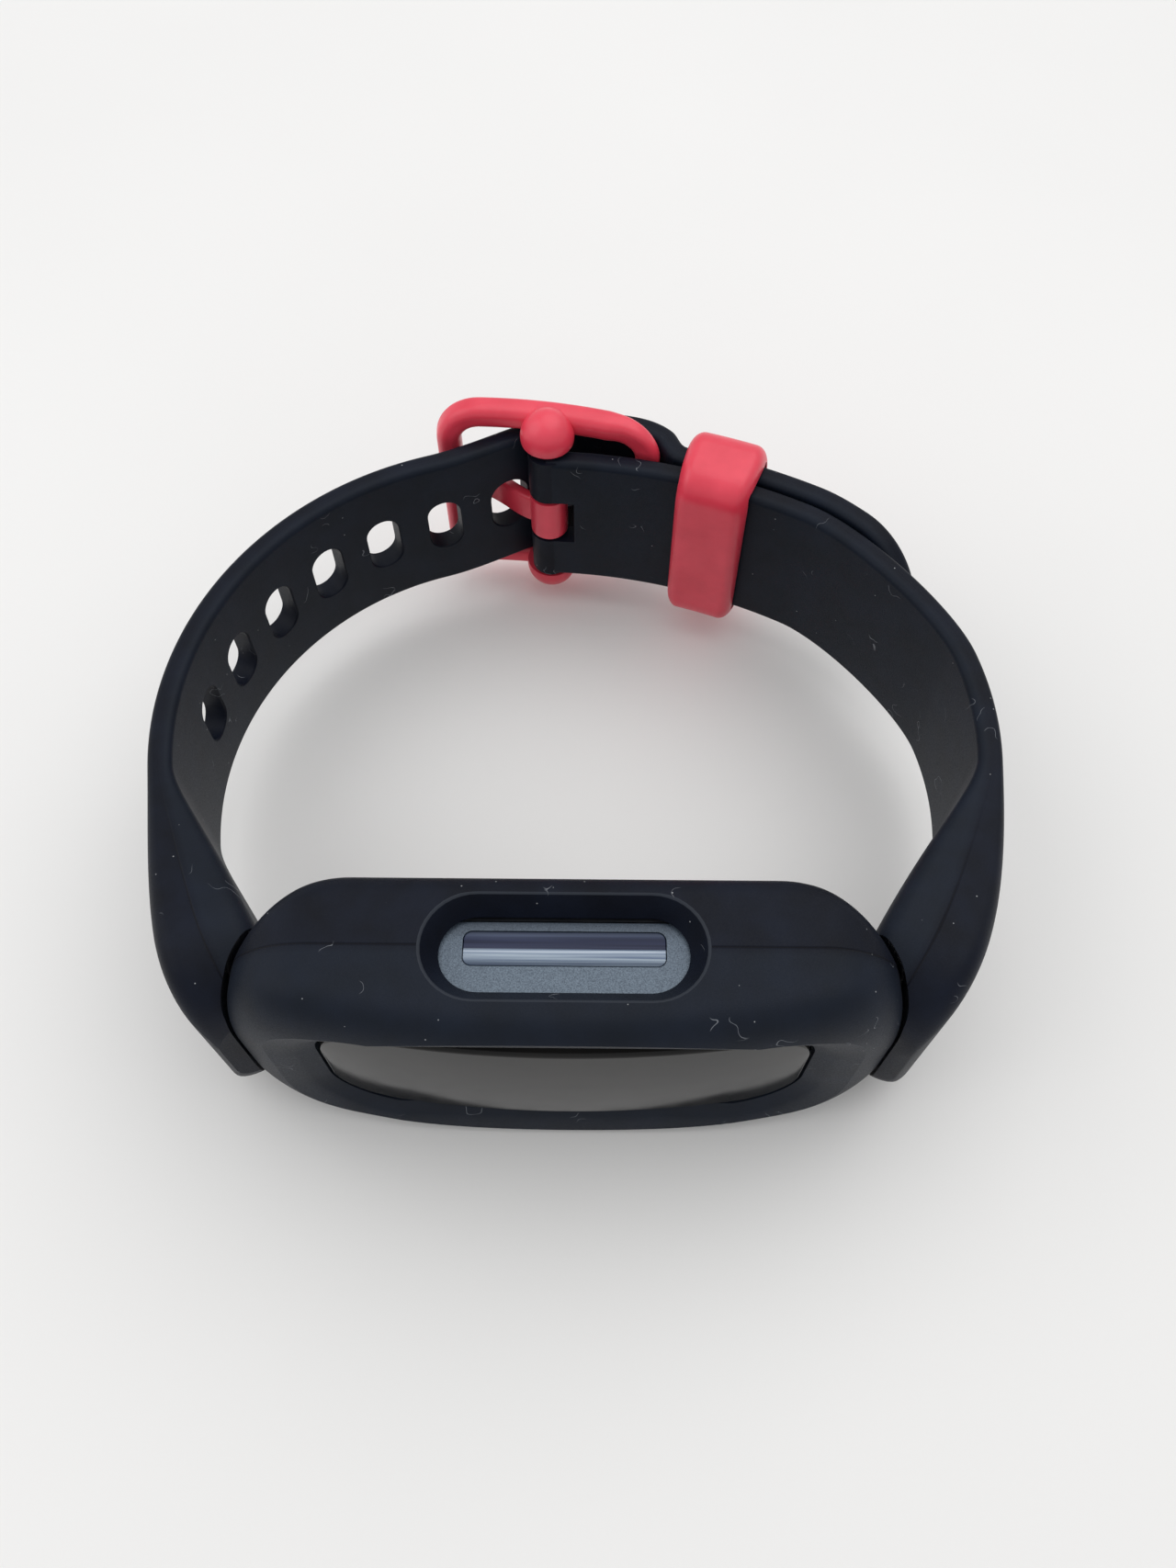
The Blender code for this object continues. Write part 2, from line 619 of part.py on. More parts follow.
def make_case():
    """Main housing and rear cover, split from one form, with pockets for the keys, lens and cover parts."""
    wide = 2 * BUMPER_LENGTH
    tall = 2 * BUMPER_HEIGHT
    form = pod_mesh("main_housing", CASE_INSET, CASE_FRONT, CASE_REAR_INSET)
    housing = add_object("main_housing", form, "case_plastic")
    boolean(housing, block("housing_trim", (-wide, CASE_RIM, -tall), (wide, 2 * BUMPER_DEPTH, tall)))
    corner = CAVITY_CORNER_RADIUS
    cavity = rounded_outline(CAVITY_LENGTH / 2, CAVITY_HALF_HEIGHT, corner, corner)
    boolean(housing, prism_y("cavity_cutter", cavity, CAVITY_FRONT, BUMPER_DEPTH))
    rebate = rounded_outline(WINDOW_LENGTH / 2, WINDOW_HEIGHT / 2, WINDOW_RADIUS, WINDOW_RADIUS, 5)
    boolean(housing, prism_y("lens_rebate_cutter", rebate, 0.0, LENS_SEAT))
    view_x, view_z = DISPLAY_LENGTH / 2 - DISPLAY_OVERLAP, DISPLAY_HEIGHT / 2 - DISPLAY_OVERLAP
    view = rounded_outline(view_x, view_z, DISPLAY_OVERLAP, DISPLAY_OVERLAP, 2)
    boolean(housing, prism_y("display_view_cutter", view, 0.0, CAVITY_FRONT + SEAT_GAP))
    key_pocket = stadium_outline(KEY_LENGTH + 2 * FIT_GAP, KEY_WIDTH + 2 * FIT_GAP)
    stem_slot = stadium_outline(KEY_STEM_LENGTH + 2 * FIT_GAP, KEY_STEM_WIDTH + 2 * FIT_GAP, 4)
    centre = (0.0, KEY_CENTRE_Y)
    for name, side in (("upper", 1), ("lower", -1)):
        top = MIDDLE_Z + side * (CASE_HALF_HEIGHT + FIT_GAP)
        floor = MIDDLE_Z + side * key_floor()
        through = MIDDLE_Z + side * (CAVITY_HALF_HEIGHT - FIT_GAP)
        boolean(housing, prism_z(f"key_pocket_{name}", key_pocket, floor, top, centre=centre))
        boolean(housing, prism_z(f"key_stem_slot_{name}", stem_slot, through, top, centre=centre))

    form = pod_mesh("rear_cover", CASE_INSET, CASE_FRONT, CASE_REAR_INSET)
    cover = add_object("rear_cover", form, "cover_plastic")
    boolean(cover, block("cover_trim", (-wide, -BUMPER_DEPTH, -tall), (wide, COVER_FRONT, tall)))
    corner = COVER_BOSS_RADIUS
    boss = rounded_outline(COVER_BOSS_LENGTH / 2, COVER_BOSS_HEIGHT / 2, corner, corner, 4)
    boolean(cover, prism_y("cover_boss", boss, CASE_REAR - COVER_PLATE / 2, COVER_BACK), "UNION")
    pocket = rounded_outline(
        COVER_BOSS_LENGTH / 2 - COVER_WALL,
        COVER_BOSS_HEIGHT / 2 - COVER_WALL,
        corner,
        corner,
    )
    boolean(cover, prism_y("cover_pocket_cutter", pocket, COVER_FRONT - FIT_GAP, POCKET_FLOOR))
    for name, side in (("left", -1), ("right", 1)):
        x = side * CONTACT_SPACING / 2
        hole = cylinder(
            f"contact_hole_{name}",
            CONTACT_RADIUS + FIT_GAP,
            (x, POCKET_FLOOR - FIT_GAP, MIDDLE_Z),
            (x, COVER_BACK + FIT_GAP, MIDDLE_Z),
        )
        boolean(cover, hole)


def key_floor():
    """Height of the key pocket's floor above the middle of the case."""
    return CASE_HALF_HEIGHT - KEY_SINK - KEY_CAP_THICKNESS - KEY_TRAVEL - SEAT_GAP / 2


def make_lens():
    """Bowed front lens with a flat back, and the gasket that it sits on."""
    flat = LENS_LENGTH / 2 - LENS_CORNER_RADIUS
    corner = flat + LENS_CORNER_RADIUS * np.sin(np.linspace(0.0, math.pi / 2, 6))
    right = np.concatenate([np.linspace(0.0, flat, 6)[:-1], corner])
    rings = []
    for x in np.concatenate([-right[:0:-1], right]):
        over = max(0.0, (abs(x) - flat) / LENS_CORNER_RADIUS)
        tall = LENS_HEIGHT / 2 - LENS_CORNER_RADIUS * (1 - math.sqrt(max(0.0, 1 - over**2)))
        front = BUMPER_FRONT + LENS_RECESS + x**2 / (2 * LENS_BOW_RADIUS)
        edge = min(0.3 * MM, 0.5 * (LENS_BACK - front))
        half = [(front, tall - edge), (front + edge, tall), (LENS_BACK, tall)]
        ring = half + [(y, -z) for y, z in half[::-1]]
        rings.append([(x, y, MIDDLE_Z + z) for y, z in ring])
    add_object("front_lens", loft_mesh("front_lens", rings), "dark_glass")
    make_band_ring(
        "lens_gasket",
        (LENS_LENGTH / 2 - FIT_GAP, LENS_HEIGHT / 2 - FIT_GAP, LENS_CORNER_RADIUS),
        GASKET_BAND,
        LENS_BACK + SEAT_GAP / 2,
        LENS_SEAT - SEAT_GAP / 2,
        "gasket_foam",
    )


def make_band_ring(name, outer, band, low, high, material):
    """A flat frame round a rounded rectangle in X and Z."""
    half_x, half_z, radius = outer
    solid = prism_y(name, rounded_outline(half_x, half_z, radius, radius), low, high, material)
    inner_radius = max(radius - band, 0.3 * band)
    inner = rounded_outline(half_x - band, half_z - band, inner_radius, inner_radius)
    boolean(solid, prism_y(f"{name}_cutter", inner, low - FIT_GAP, high + FIT_GAP))
    return solid


def make_cover_parts():
    """Seal, charging contacts and charging magnets, all seated in the rear cover."""
    make_band_ring(
        "cover_seal",
        (CAVITY_LENGTH / 2 - SEAT_GAP, CAVITY_HALF_HEIGHT - SEAT_GAP, CAVITY_CORNER_RADIUS),
        COVER_SEAL_WIDTH,
        CASE_RIM - COVER_SEAL_DEPTH,
        CASE_RIM,
        "seal_rubber",
    )
    for name, side in (("left", -1), ("right", 1)):
        x = side * CONTACT_SPACING / 2
        cylinder(
            f"charge_contact_{name}",
            CONTACT_RADIUS,
            (x, POCKET_FLOOR + SEAT_GAP / 2, MIDDLE_Z),
            (x, COVER_BACK, MIDDLE_Z),
            "gold_plate",
        )
        x = side * MAGNET_SPACING / 2
        back = POCKET_FLOOR - SEAT_GAP / 2
        cylinder(
            f"charge_magnet_{name}",
            MAGNET_RADIUS,
            (x, back - MAGNET_THICKNESS, MIDDLE_Z),
            (x, back, MIDDLE_Z),
            "steel",
        )


# ---------------------------------------------------------------- keys


def make_keys():
    """A key, its seal and its switch on each side of the case."""
    centre = (0.0, KEY_CENTRE_Y)
    cap_top = CASE_HALF_HEIGHT - KEY_SINK
    cap_low = cap_top - KEY_CAP_THICKNESS
    seal_top = CAVITY_HALF_HEIGHT - SEAT_GAP / 2
    seal_low = seal_top - KEY_SEAL_THICKNESS
    plunger_top = seal_low - 1.5 * SEAT_GAP
    stem_low = plunger_top + KEY_TRAVEL + SEAT_GAP
    switch_top = plunger_top - SWITCH_PLUNGER_HEIGHT
    switch_low = SWITCH_LOW
    switch_y = (PARTS_FRONT, PARTS_FRONT + SWITCH_DEPTH)
    stem = stadium_outline(KEY_STEM_LENGTH, KEY_STEM_WIDTH, 4)
    bore = stadium_outline(KEY_STEM_LENGTH + 2 * FIT_GAP, KEY_STEM_WIDTH + 2 * FIT_GAP, 4)
    gasket = stadium_outline(KEY_STEM_LENGTH + 2 * KEY_SEAL_BAND, KEY_STEM_WIDTH + 2 * KEY_SEAL_BAND, 4)
    for name, side in (("upper", 1), ("lower", -1)):

        def level(height):
            return MIDDLE_Z + side * height

        key = prism_z(
            f"side_key_{name}",
            stadium_outline(KEY_LENGTH, KEY_WIDTH),
            level(cap_low),
            level(cap_top),
            "polished_key",
            centre,
            origin=(0.0, KEY_CENTRE_Y, level(cap_top)),
        )
        stem_top = cap_low + KEY_CAP_THICKNESS / 2
        post = prism_z(f"key_stem_{name}", stem, level(stem_low), level(stem_top), centre=centre)
        boolean(key, post, "UNION")
        seal = prism_z(f"key_seal_{name}", gasket, level(seal_low), level(seal_top), "seal_rubber", centre)
        bore_z = (level(seal_low - FIT_GAP), level(seal_top + FIT_GAP))
        boolean(seal, prism_z(f"key_seal_bore_{name}", bore, *bore_z, centre=centre))
        switch = block(
            f"key_switch_{name}",
            (-SWITCH_LENGTH / 2, switch_y[0], level(switch_low)),
            (SWITCH_LENGTH / 2, switch_y[1], level(switch_top)),
            "chip_resin",
        )
        plunger = block(
            f"switch_plunger_{name}",
            (-SWITCH_PLUNGER_LENGTH / 2, switch_y[0] + FIT_GAP, level(switch_top - FIT_GAP)),
            (SWITCH_PLUNGER_LENGTH / 2, switch_y[1] - FIT_GAP, level(plunger_top)),
        )
        boolean(switch, plunger, "UNION")


# ---------------------------------------------------------------- electronics


def make_display():
    """Display panel, its folded flex and the connector on the board's rear."""
    half_x, half_z = DISPLAY_LENGTH / 2, DISPLAY_HEIGHT / 2
    block(
        "display_panel",
        (-half_x, DISPLAY_FRONT, MIDDLE_Z - half_z),
        (half_x, DISPLAY_BACK, MIDDLE_Z + half_z),
        "display_glass",
    )
    left = -BOARD_LENGTH / 2 - SEAT_GAP
    end_x = -CAVITY_LENGTH / 2 + FIT_GAP + FLEX_THICKNESS
    near = (-half_x - SEAT_GAP, (DISPLAY_FRONT + DISPLAY_BACK) / 2)
    back = BOARD_BACK + SEAT_GAP + FLEX_THICKNESS / 2
    reach = (CONNECTOR_LEFT - SEAT_GAP, back)
    bulge = near[0] + (end_x - near[0]) / 0.75
    fold = bezier(near, (bulge, near[1]), (bulge, back), (left, back), 9)
    ribbon = chain(fold, np.array([(left, back), reach]))
    side = normals(ribbon) * FLEX_THICKNESS / 2
    rings = []
    for point, step in zip(ribbon, side):
        a, b = point + step, point - step
        low, high = MIDDLE_Z - FLEX_WIDTH / 2, MIDDLE_Z + FLEX_WIDTH / 2
        rings.append([(*a, low), (*a, high), (*b, high), (*b, low)])
    add_object("display_flex", loft_mesh("display_flex", rings), "flex_film")
    block(
        "display_connector",
        (CONNECTOR_LEFT, PARTS_FRONT, MIDDLE_Z - CONNECTOR_WIDTH / 2),
        (
            CONNECTOR_LEFT + CONNECTOR_LENGTH,
            PARTS_FRONT + CONNECTOR_HEIGHT,
            MIDDLE_Z + CONNECTOR_WIDTH / 2,
        ),
        "connector_plastic",
    )


def chip(name, x, z, size_x, size_z, material="chip_resin", thickness=CHIP_THICKNESS):
    """A flat part on the rear of the board."""
    block(
        name,
        (x - size_x / 2, PARTS_FRONT, MIDDLE_Z + z - size_z / 2),
        (x + size_x / 2, PARTS_FRONT + thickness, MIDDLE_Z + z + size_z / 2),
        material,
    )


def make_board():
    """Main board with its chips, screws and antenna."""
    board = block(
        "main_board",
        (-BOARD_LENGTH / 2, BOARD_FRONT, MIDDLE_Z - BOARD_HEIGHT / 2),
        (BOARD_LENGTH / 2, BOARD_BACK, MIDDLE_Z + BOARD_HEIGHT / 2),
        "board_green",
    )
    screw_z = BOARD_HEIGHT / 2 - SCREW_EDGE
    for name, side in (("left", -1), ("right", 1)):
        x, z = side * (BOARD_LENGTH / 2 - SCREW_EDGE), MIDDLE_Z + side * screw_z
        head = PARTS_FRONT + SCREW_HEAD_HEIGHT
        hole = cylinder(
            f"screw_hole_{name}",
            SCREW_RADIUS + FIT_GAP,
            (x, BOARD_FRONT - FIT_GAP, z),
            (x, head, z),
            segments=16,
        )
        boolean(board, hole)
        screw = cylinder(
            f"board_screw_{name}",
            SCREW_HEAD_RADIUS,
            (x, PARTS_FRONT, z),
            (x, head, z),
            "steel",
            segments=16,
        )
        shank = cylinder(
            f"screw_shank_{name}", SCREW_RADIUS, (x, BOARD_FRONT, z), (x, head - FIT_GAP, z), segments=12
        )
        boolean(screw, shank, "UNION")
    start = CONNECTOR_LEFT + CONNECTOR_LENGTH + PROCESSOR_GAP
    processor_x = start + PROCESSOR_SIZE / 2
    chip("processor_chip", processor_x, 0.0, PROCESSOR_SIZE, PROCESSOR_SIZE)
    radio_x = processor_x + PROCESSOR_SIZE / 2 + CHIP_PITCH + RADIO_SIZE / 2
    row_z = (RADIO_SIZE + CHIP_PITCH) / 2
    chip("radio_chip", radio_x, row_z, RADIO_SIZE, RADIO_SIZE)
    chip("memory_chip", radio_x, -row_z, MEMORY_SIZE, MEMORY_SIZE)
    power_x = radio_x + RADIO_SIZE / 2 + CHIP_PITCH + POWER_CHIP_SIZE / 2
    chip("power_chip", power_x, -row_z, POWER_CHIP_SIZE, POWER_CHIP_SIZE)
    chip("motion_sensor", power_x, row_z, SENSOR_SIZE, SENSOR_SIZE)
    chip("crystal", power_x, 0.0, CRYSTAL_SIZE, CRYSTAL_SIZE / 2, "steel")
    antenna_left = -CAVITY_LENGTH / 2 + ANTENNA_END_GAP
    top = MIDDLE_Z + CAVITY_HALF_HEIGHT - SEAT_GAP
    block(
        "antenna",
        (antenna_left, BOARD_FRONT, top - ANTENNA_THICKNESS),
        (antenna_left + ANTENNA_LENGTH, BOARD_FRONT + ANTENNA_WIDTH, top),
        "gold_plate",
    )


def make_battery():
    """Pouch cell behind the chips, its foam pad and its two leads to the board."""
    low_z, high_z = MIDDLE_Z - BATTERY_HEIGHT / 2, MIDDLE_Z + BATTERY_HEIGHT / 2
    battery_back = BATTERY_FRONT + BATTERY_THICKNESS
    cell = block(
        "battery",
        (BATTERY_LEFT, BATTERY_FRONT, low_z),
        (BATTERY_RIGHT, battery_back, high_z),
        "cell_foil",
    )
    soften = cell.modifiers.new("soft_edges", "BEVEL")
    soften.width = 0.2 * BATTERY_THICKNESS
    soften.segments = 2
    foam_left = -MAGNET_SPACING / 2 + MAGNET_RADIUS + FIT_GAP
    block(
        "battery_foam",
        (foam_left, battery_back + SEAT_GAP / 2, low_z + COVER_WALL),
        (BATTERY_RIGHT - COVER_WALL, POCKET_FLOOR - SEAT_GAP / 2, high_z - COVER_WALL),
        "gasket_foam",
    )
    for name, side, material in (("positive", 1, "lead_red"), ("negative", -1, "lead_black")):
        z = MIDDLE_Z - BATTERY_HEIGHT / 2 + LEAD_SPACING + side * LEAD_SPACING / 2
        start = (BATTERY_RIGHT + SEAT_GAP, BATTERY_FRONT + BATTERY_THICKNESS / 2)
        end = (BATTERY_RIGHT + LEAD_REACH / 2, PARTS_FRONT)
        bend = bezier(start, (end[0], start[1]), (end[0], start[1]), end, 7)
        lead_tube(f"battery_lead_{name}", [(x, y, z) for x, y in bend], material)


def lead_tube(name, points, material):
    """A thin round wire through a list of points."""
    wire = bpy.data.curves.new(name, "CURVE")
    wire.dimensions = "3D"
    spline = wire.splines.new("POLY")
    spline.points.add(len(points) - 1)
    for slot, point in zip(spline.points, points):
        slot.co = (*point, 1.0)
    wire.bevel_depth = LEAD_RADIUS
    wire.bevel_resolution = 2
    wire.use_fill_caps = True
    wire.materials.append(finish(material))
    obj = bpy.data.objects.new(name, wire)
    parts.objects.link(obj)
    obj.parent = root


def make_motor():
    """Vibration motor: a can on a base, with an off-centre weight on a shaft along Y."""
    low, high = PARTS_FRONT, PARTS_FRONT + MOTOR_HEIGHT
    base_top = low + MOTOR_BASE_THICKNESS
    can_low = base_top + SEAT_GAP
    inner_top = high - MOTOR_WALL

    def at(y):
        return (MOTOR_X, y, MIDDLE_Z)

    cylinder("motor_base", MOTOR_RADIUS, at(low), at(base_top), "steel")
    can = cylinder("motor_can", MOTOR_RADIUS, at(can_low), at(high), "steel")
    boolean(can, cylinder("can_hollow", MOTOR_RADIUS - MOTOR_WALL, at(low), at(inner_top)))
    shaft_low, shaft_high = base_top + SEAT_GAP / 2, inner_top - SEAT_GAP / 2
    cylinder("motor_shaft", MOTOR_SHAFT_RADIUS, at(shaft_low), at(shaft_high), "steel", segments=12)
    weight_low, weight_high = shaft_low + WEIGHT_END_GAP, shaft_high - WEIGHT_END_GAP
    weight = cylinder(
        "motor_weight",
        WEIGHT_RADIUS,
        at(weight_low),
        at(weight_high),
        "tungsten",
        origin=at(weight_low),
    )
    bore_radius = MOTOR_SHAFT_RADIUS + SEAT_GAP
    boolean(weight, cylinder("weight_bore", bore_radius, at(low), at(high), segments=12))
    trim = 2 * WEIGHT_RADIUS
    cut_z = MIDDLE_Z + bore_radius + 2 * SEAT_GAP
    boolean(weight, block("weight_trim", (MOTOR_X - trim, low, cut_z), (MOTOR_X + trim, high, cut_z + trim)))


# ---------------------------------------------------------------- straps


def shoulder_rails(side, end, inner_end, heading, count=14):
    """Outer and inner plan edges of a shoulder, from beside the bumper to the start of a strap."""
    ahead = turn(heading)
    nose = np.array([side * SHOULDER_NOSE[0], SHOULDER_NOSE[1]])
    nose_pull = np.array([side * SHOULDER_NOSE_PULL[0], SHOULDER_NOSE_PULL[1]])
    outer = bezier(nose, nose + nose_pull, end - SHOULDER_OUTER_PULL * ahead, end, 60)
    heel = np.array([side * SHOULDER_HEEL[0], SHOULDER_HEEL[1]])
    heel_pull = np.array([side * SHOULDER_HEEL_PULL[0], SHOULDER_HEEL_PULL[1]])
    inner = bezier(heel, heel + heel_pull, inner_end - SHOULDER_INNER_PULL * ahead, inner_end, 60)
    share = np.linspace(0.0, 1.0, count)
    return resample(outer, share * lengths(outer)[-1]), resample(inner, share * lengths(inner)[-1])


def shoulder_half_width(share):
    """Half the strap's width along a shoulder, from the bumper (0) to the strap (1)."""
    ease = share * share * (3 - 2 * share)
    width = SHOULDER_WIDTH + (STRAP_WIDTH - SHOULDER_WIDTH) * ease
    short = np.clip(1 - share / SHOULDER_NOSE_SHARE, 0.0, 1.0)
    rounding = 1 - np.sqrt(1 - 0.98 * short**2)
    return (width - (SHOULDER_WIDTH - SHOULDER_NOSE_WIDTH) * rounding) / 2


def band_rings(outer, inner, half_width, edge):
    """Rounded sections that span two plan edges."""
    rings = []
    for o, i, tall, radius in zip(outer, inner, half_width, edge):
        middle, thick = (o + i) / 2, np.linalg.norm(o - i)
        across = (o - i) / thick
        section = rounded_outline(thick / 2, tall, min(radius, 0.45 * thick), radius)
        rings.append([(*(middle + a * across), MIDDLE_Z + b) for a, b in section])
    return rings


def back_path(lift):
    """The buckle strap's plan line from its shoulder to the pivot, raised outwards by a lift."""
    start, end = RIGHT_ARC_TO, BACK_ARC_FROM
    side_arc = arc(RIGHT_ARC_CENTRE, RIGHT_ARC_RADIUS + lift, RIGHT_ARC_FROM, start)
    rear_arc = arc(BACK_ARC_CENTRE, BACK_ARC_RADIUS + lift, end, PIVOT_ANGLE)
    corner = blend(side_arc[-1], start + 90, rear_arc[0], end + 90, 10, CORNER_FULLNESS)
    return chain(side_arc, corner, rear_arc)


def hole_strap_path():
    """The outer plan line of the hole strap, from its shoulder over the buckle to the tail's tip."""
    left = arc(LEFT_ARC_CENTRE, LEFT_ARC_RADIUS, LEFT_ARC_FROM, LEFT_ARC_TO)
    climb = blend(left[-1], LEFT_ARC_TO - 90, HUMP_TOP, HUMP_SLOPE, 10)
    tail = back_path(STRAP_LIFT)[::-1]
    rear = arc(BACK_ARC_CENTRE, BACK_ARC_RADIUS + STRAP_LIFT, TAIL_ARC_TO, BACK_ARC_FROM)
    crest = blend(HUMP_TOP, HUMP_SLOPE, TAIL_DROP, TAIL_DROP_SLOPE, 8)
    drop = blend(TAIL_DROP, TAIL_DROP_SLOPE, rear[0], TAIL_ARC_TO - 90, 6)
    to_corner = np.linalg.norm(tail - rear[-1], axis=1).argmin()
    past = tail[to_corner:]
    reach = np.linspace(0.0, TAIL_LENGTH_PAST_ARC, 5)
    return chain(left, climb, crest, drop, rear, resample(past, reach))


def make_hole_strap():
    """Strap with oblong holes, whose tail lies outside the buckle strap."""
    path = hole_strap_path()
    inside = path - normals(path) * STRAP_THICKNESS
    outer_rail, inner_rail = shoulder_rails(-1, path[0], inside[0], LEFT_ARC_FROM - 90)
    total = lengths(path)[-1]
    tip_from = total - TIP_LENGTH
    even = np.linspace(0.0, tip_from, 46)
    tip = tip_from + TIP_LENGTH * np.sin(np.linspace(0.0, 1.5, 7))[1:]
    stations = np.concatenate([even, tip])
    outside = resample(path, stations)
    within = outside - normals(outside) * STRAP_THICKNESS
    share = np.linspace(0.0, 1.0, len(outer_rail))
    into_tip = np.clip((stations - tip_from) / TIP_LENGTH, 0.0, 1.0)
    half = STRAP_WIDTH / 2 * np.sqrt(1 - into_tip**2)
    outer = chain(outer_rail, outside)
    inner = chain(inner_rail, within)
    width = np.concatenate([shoulder_half_width(share), half[1:]])
    edge = np.concatenate([edge_radius(share), np.full(len(half) - 1, STRAP_EDGE_RADIUS)])
    mesh = loft_mesh("hole_strap", band_rings(outer, inner, width, edge))
    strap = add_object("hole_strap", mesh, "silicone")
    boolean(strap, bumper_clearance("hole_strap_trim"))
    boolean(strap, hole_cutters(path))
    return strap


def edge_radius(share):
    """Corner radius of a shoulder's section, easing to the strap's."""
    return SHOULDER_EDGE_RADIUS + (STRAP_EDGE_RADIUS - SHOULDER_EDGE_RADIUS) * np.sqrt(share)


def bumper_clearance(name):
    """The bumper's outer form grown by the fit, which trims a strap where the two meet."""
    return add_object(name, pod_mesh(name, -FIT_GAP, -FIT_GAP, -FIT_GAP))


def hole_positions(path):
    """Distances along the path of the hole centres, counted from the hole that the tongue is in."""
    along = lengths(path)
    used = np.interp(USED_HOLE_X, path[:, 0][: len(path) // 2 + 8], along[: len(path) // 2 + 8])
    return used + HOLE_PITCH * (np.arange(HOLE_COUNT) - HOLES_BEFORE_USED)


def hole_cutters(path):
    """One cutter object with a slot-shaped bar at each hole."""
    spots = hole_positions(path)
    middle = resample(path, spots)
    ahead = resample(path, spots + HOLE_LENGTH / 4) - resample(path, spots - HOLE_LENGTH / 4)
    ahead /= np.linalg.norm(ahead, axis=1)[:, None]
    outline = stadium_outline(HOLE_WIDTH, HOLE_LENGTH, 5)

    def build(bm):
        for spot, along in zip(middle, ahead):
            across = np.array([-along[1], along[0]])
            rows = []
            for depth in (-2 * STRAP_THICKNESS, STRAP_THICKNESS):
                points = [(*(spot + depth * across + b * along), MIDDLE_Z + a) for a, b in outline]
                rows.append([bm.verts.new(p) for p in points])
            low, high = rows
            for k in range(len(low)):
                nxt = (k + 1) % len(low)
                bm.faces.new((low[k], low[nxt], high[nxt], high[k]))
            bm.faces.new(low[::-1])
            bm.faces.new(high)

    return add_object("strap_hole_cutters", mesh_from("strap_hole_cutters", build))


def make_buckle_strap():
    """Strap that carries the buckle: a barrel round the pin, notched for the tongue."""
    path = back_path(0.0)
    inside = path + normals(path) * STRAP_THICKNESS
    outer_rail, inner_rail = shoulder_rails(1, path[0], inside[0], RIGHT_ARC_FROM + 90)
    share = np.linspace(0.0, 1.0, len(outer_rail))
    stations = np.linspace(0.0, lengths(path)[-1], 30)
    outside = resample(path, stations)
    within = outside + normals(outside) * STRAP_THICKNESS
    outer = chain(outer_rail, outside)
    inner = chain(inner_rail, within)
    rest = np.ones(len(stations) - 1)
    width = np.concatenate([shoulder_half_width(share), rest * STRAP_WIDTH / 2])
    edge = np.concatenate([edge_radius(share), rest * STRAP_EDGE_RADIUS])
    mesh = loft_mesh("buckle_strap", band_rings(outer, inner, width, edge))
    strap = add_object("buckle_strap", mesh, "silicone")
    boolean(strap, bumper_clearance("buckle_strap_trim"))
    x, y = pivot()
    low, high = MIDDLE_Z - STRAP_WIDTH / 2 + SEAT_GAP, MIDDLE_Z + STRAP_WIDTH / 2 - SEAT_GAP
    boolean(strap, cylinder("strap_barrel", KNUCKLE_RADIUS, (x, y, low), (x, y, high), segments=20), "UNION")
    notch_low, notch_high = MIDDLE_Z - NOTCH_WIDTH / 2, MIDDLE_Z + NOTCH_WIDTH / 2
    reach = x + NOTCH_DEPTH - KNUCKLE_RADIUS
    deep = 3 * KNUCKLE_RADIUS
    boolean(strap, block("strap_notch", (x - deep, y - deep, notch_low), (reach, y + deep, notch_high)))
    bore_radius = PIN_RADIUS + FIT_GAP
    bore_low, bore_high = (x, y, low - FIT_GAP), (x, y, high + FIT_GAP)
    boolean(strap, cylinder("strap_pin_bore", bore_radius, bore_low, bore_high, segments=16))


# ---------------------------------------------------------------- buckle and keeper


def pivot():
    """Plan position of the buckle's pin, just under the strap's outer face."""
    return polar(BACK_ARC_CENTRE, BACK_ARC_RADIUS - PIVOT_DEPTH, PIVOT_ANGLE)


def ring_half_opening():
    """Half the clear height between the ring's two rails."""
    return STRAP_WIDTH / 2 + FIT_GAP + SEAT_GAP / 2


def ring_rise(share):
    """Plan point of the ring's middle line, from its left bar (0) to its right bar (1)."""
    start, end = np.array(RING_LEFT), np.array(RING_RIGHT)
    across = np.array([start[1] - end[1], end[0] - start[0]]) / np.linalg.norm(end - start)
    return start + (end - start) * share + across * RING_BOW * 4 * share * (1 - share)


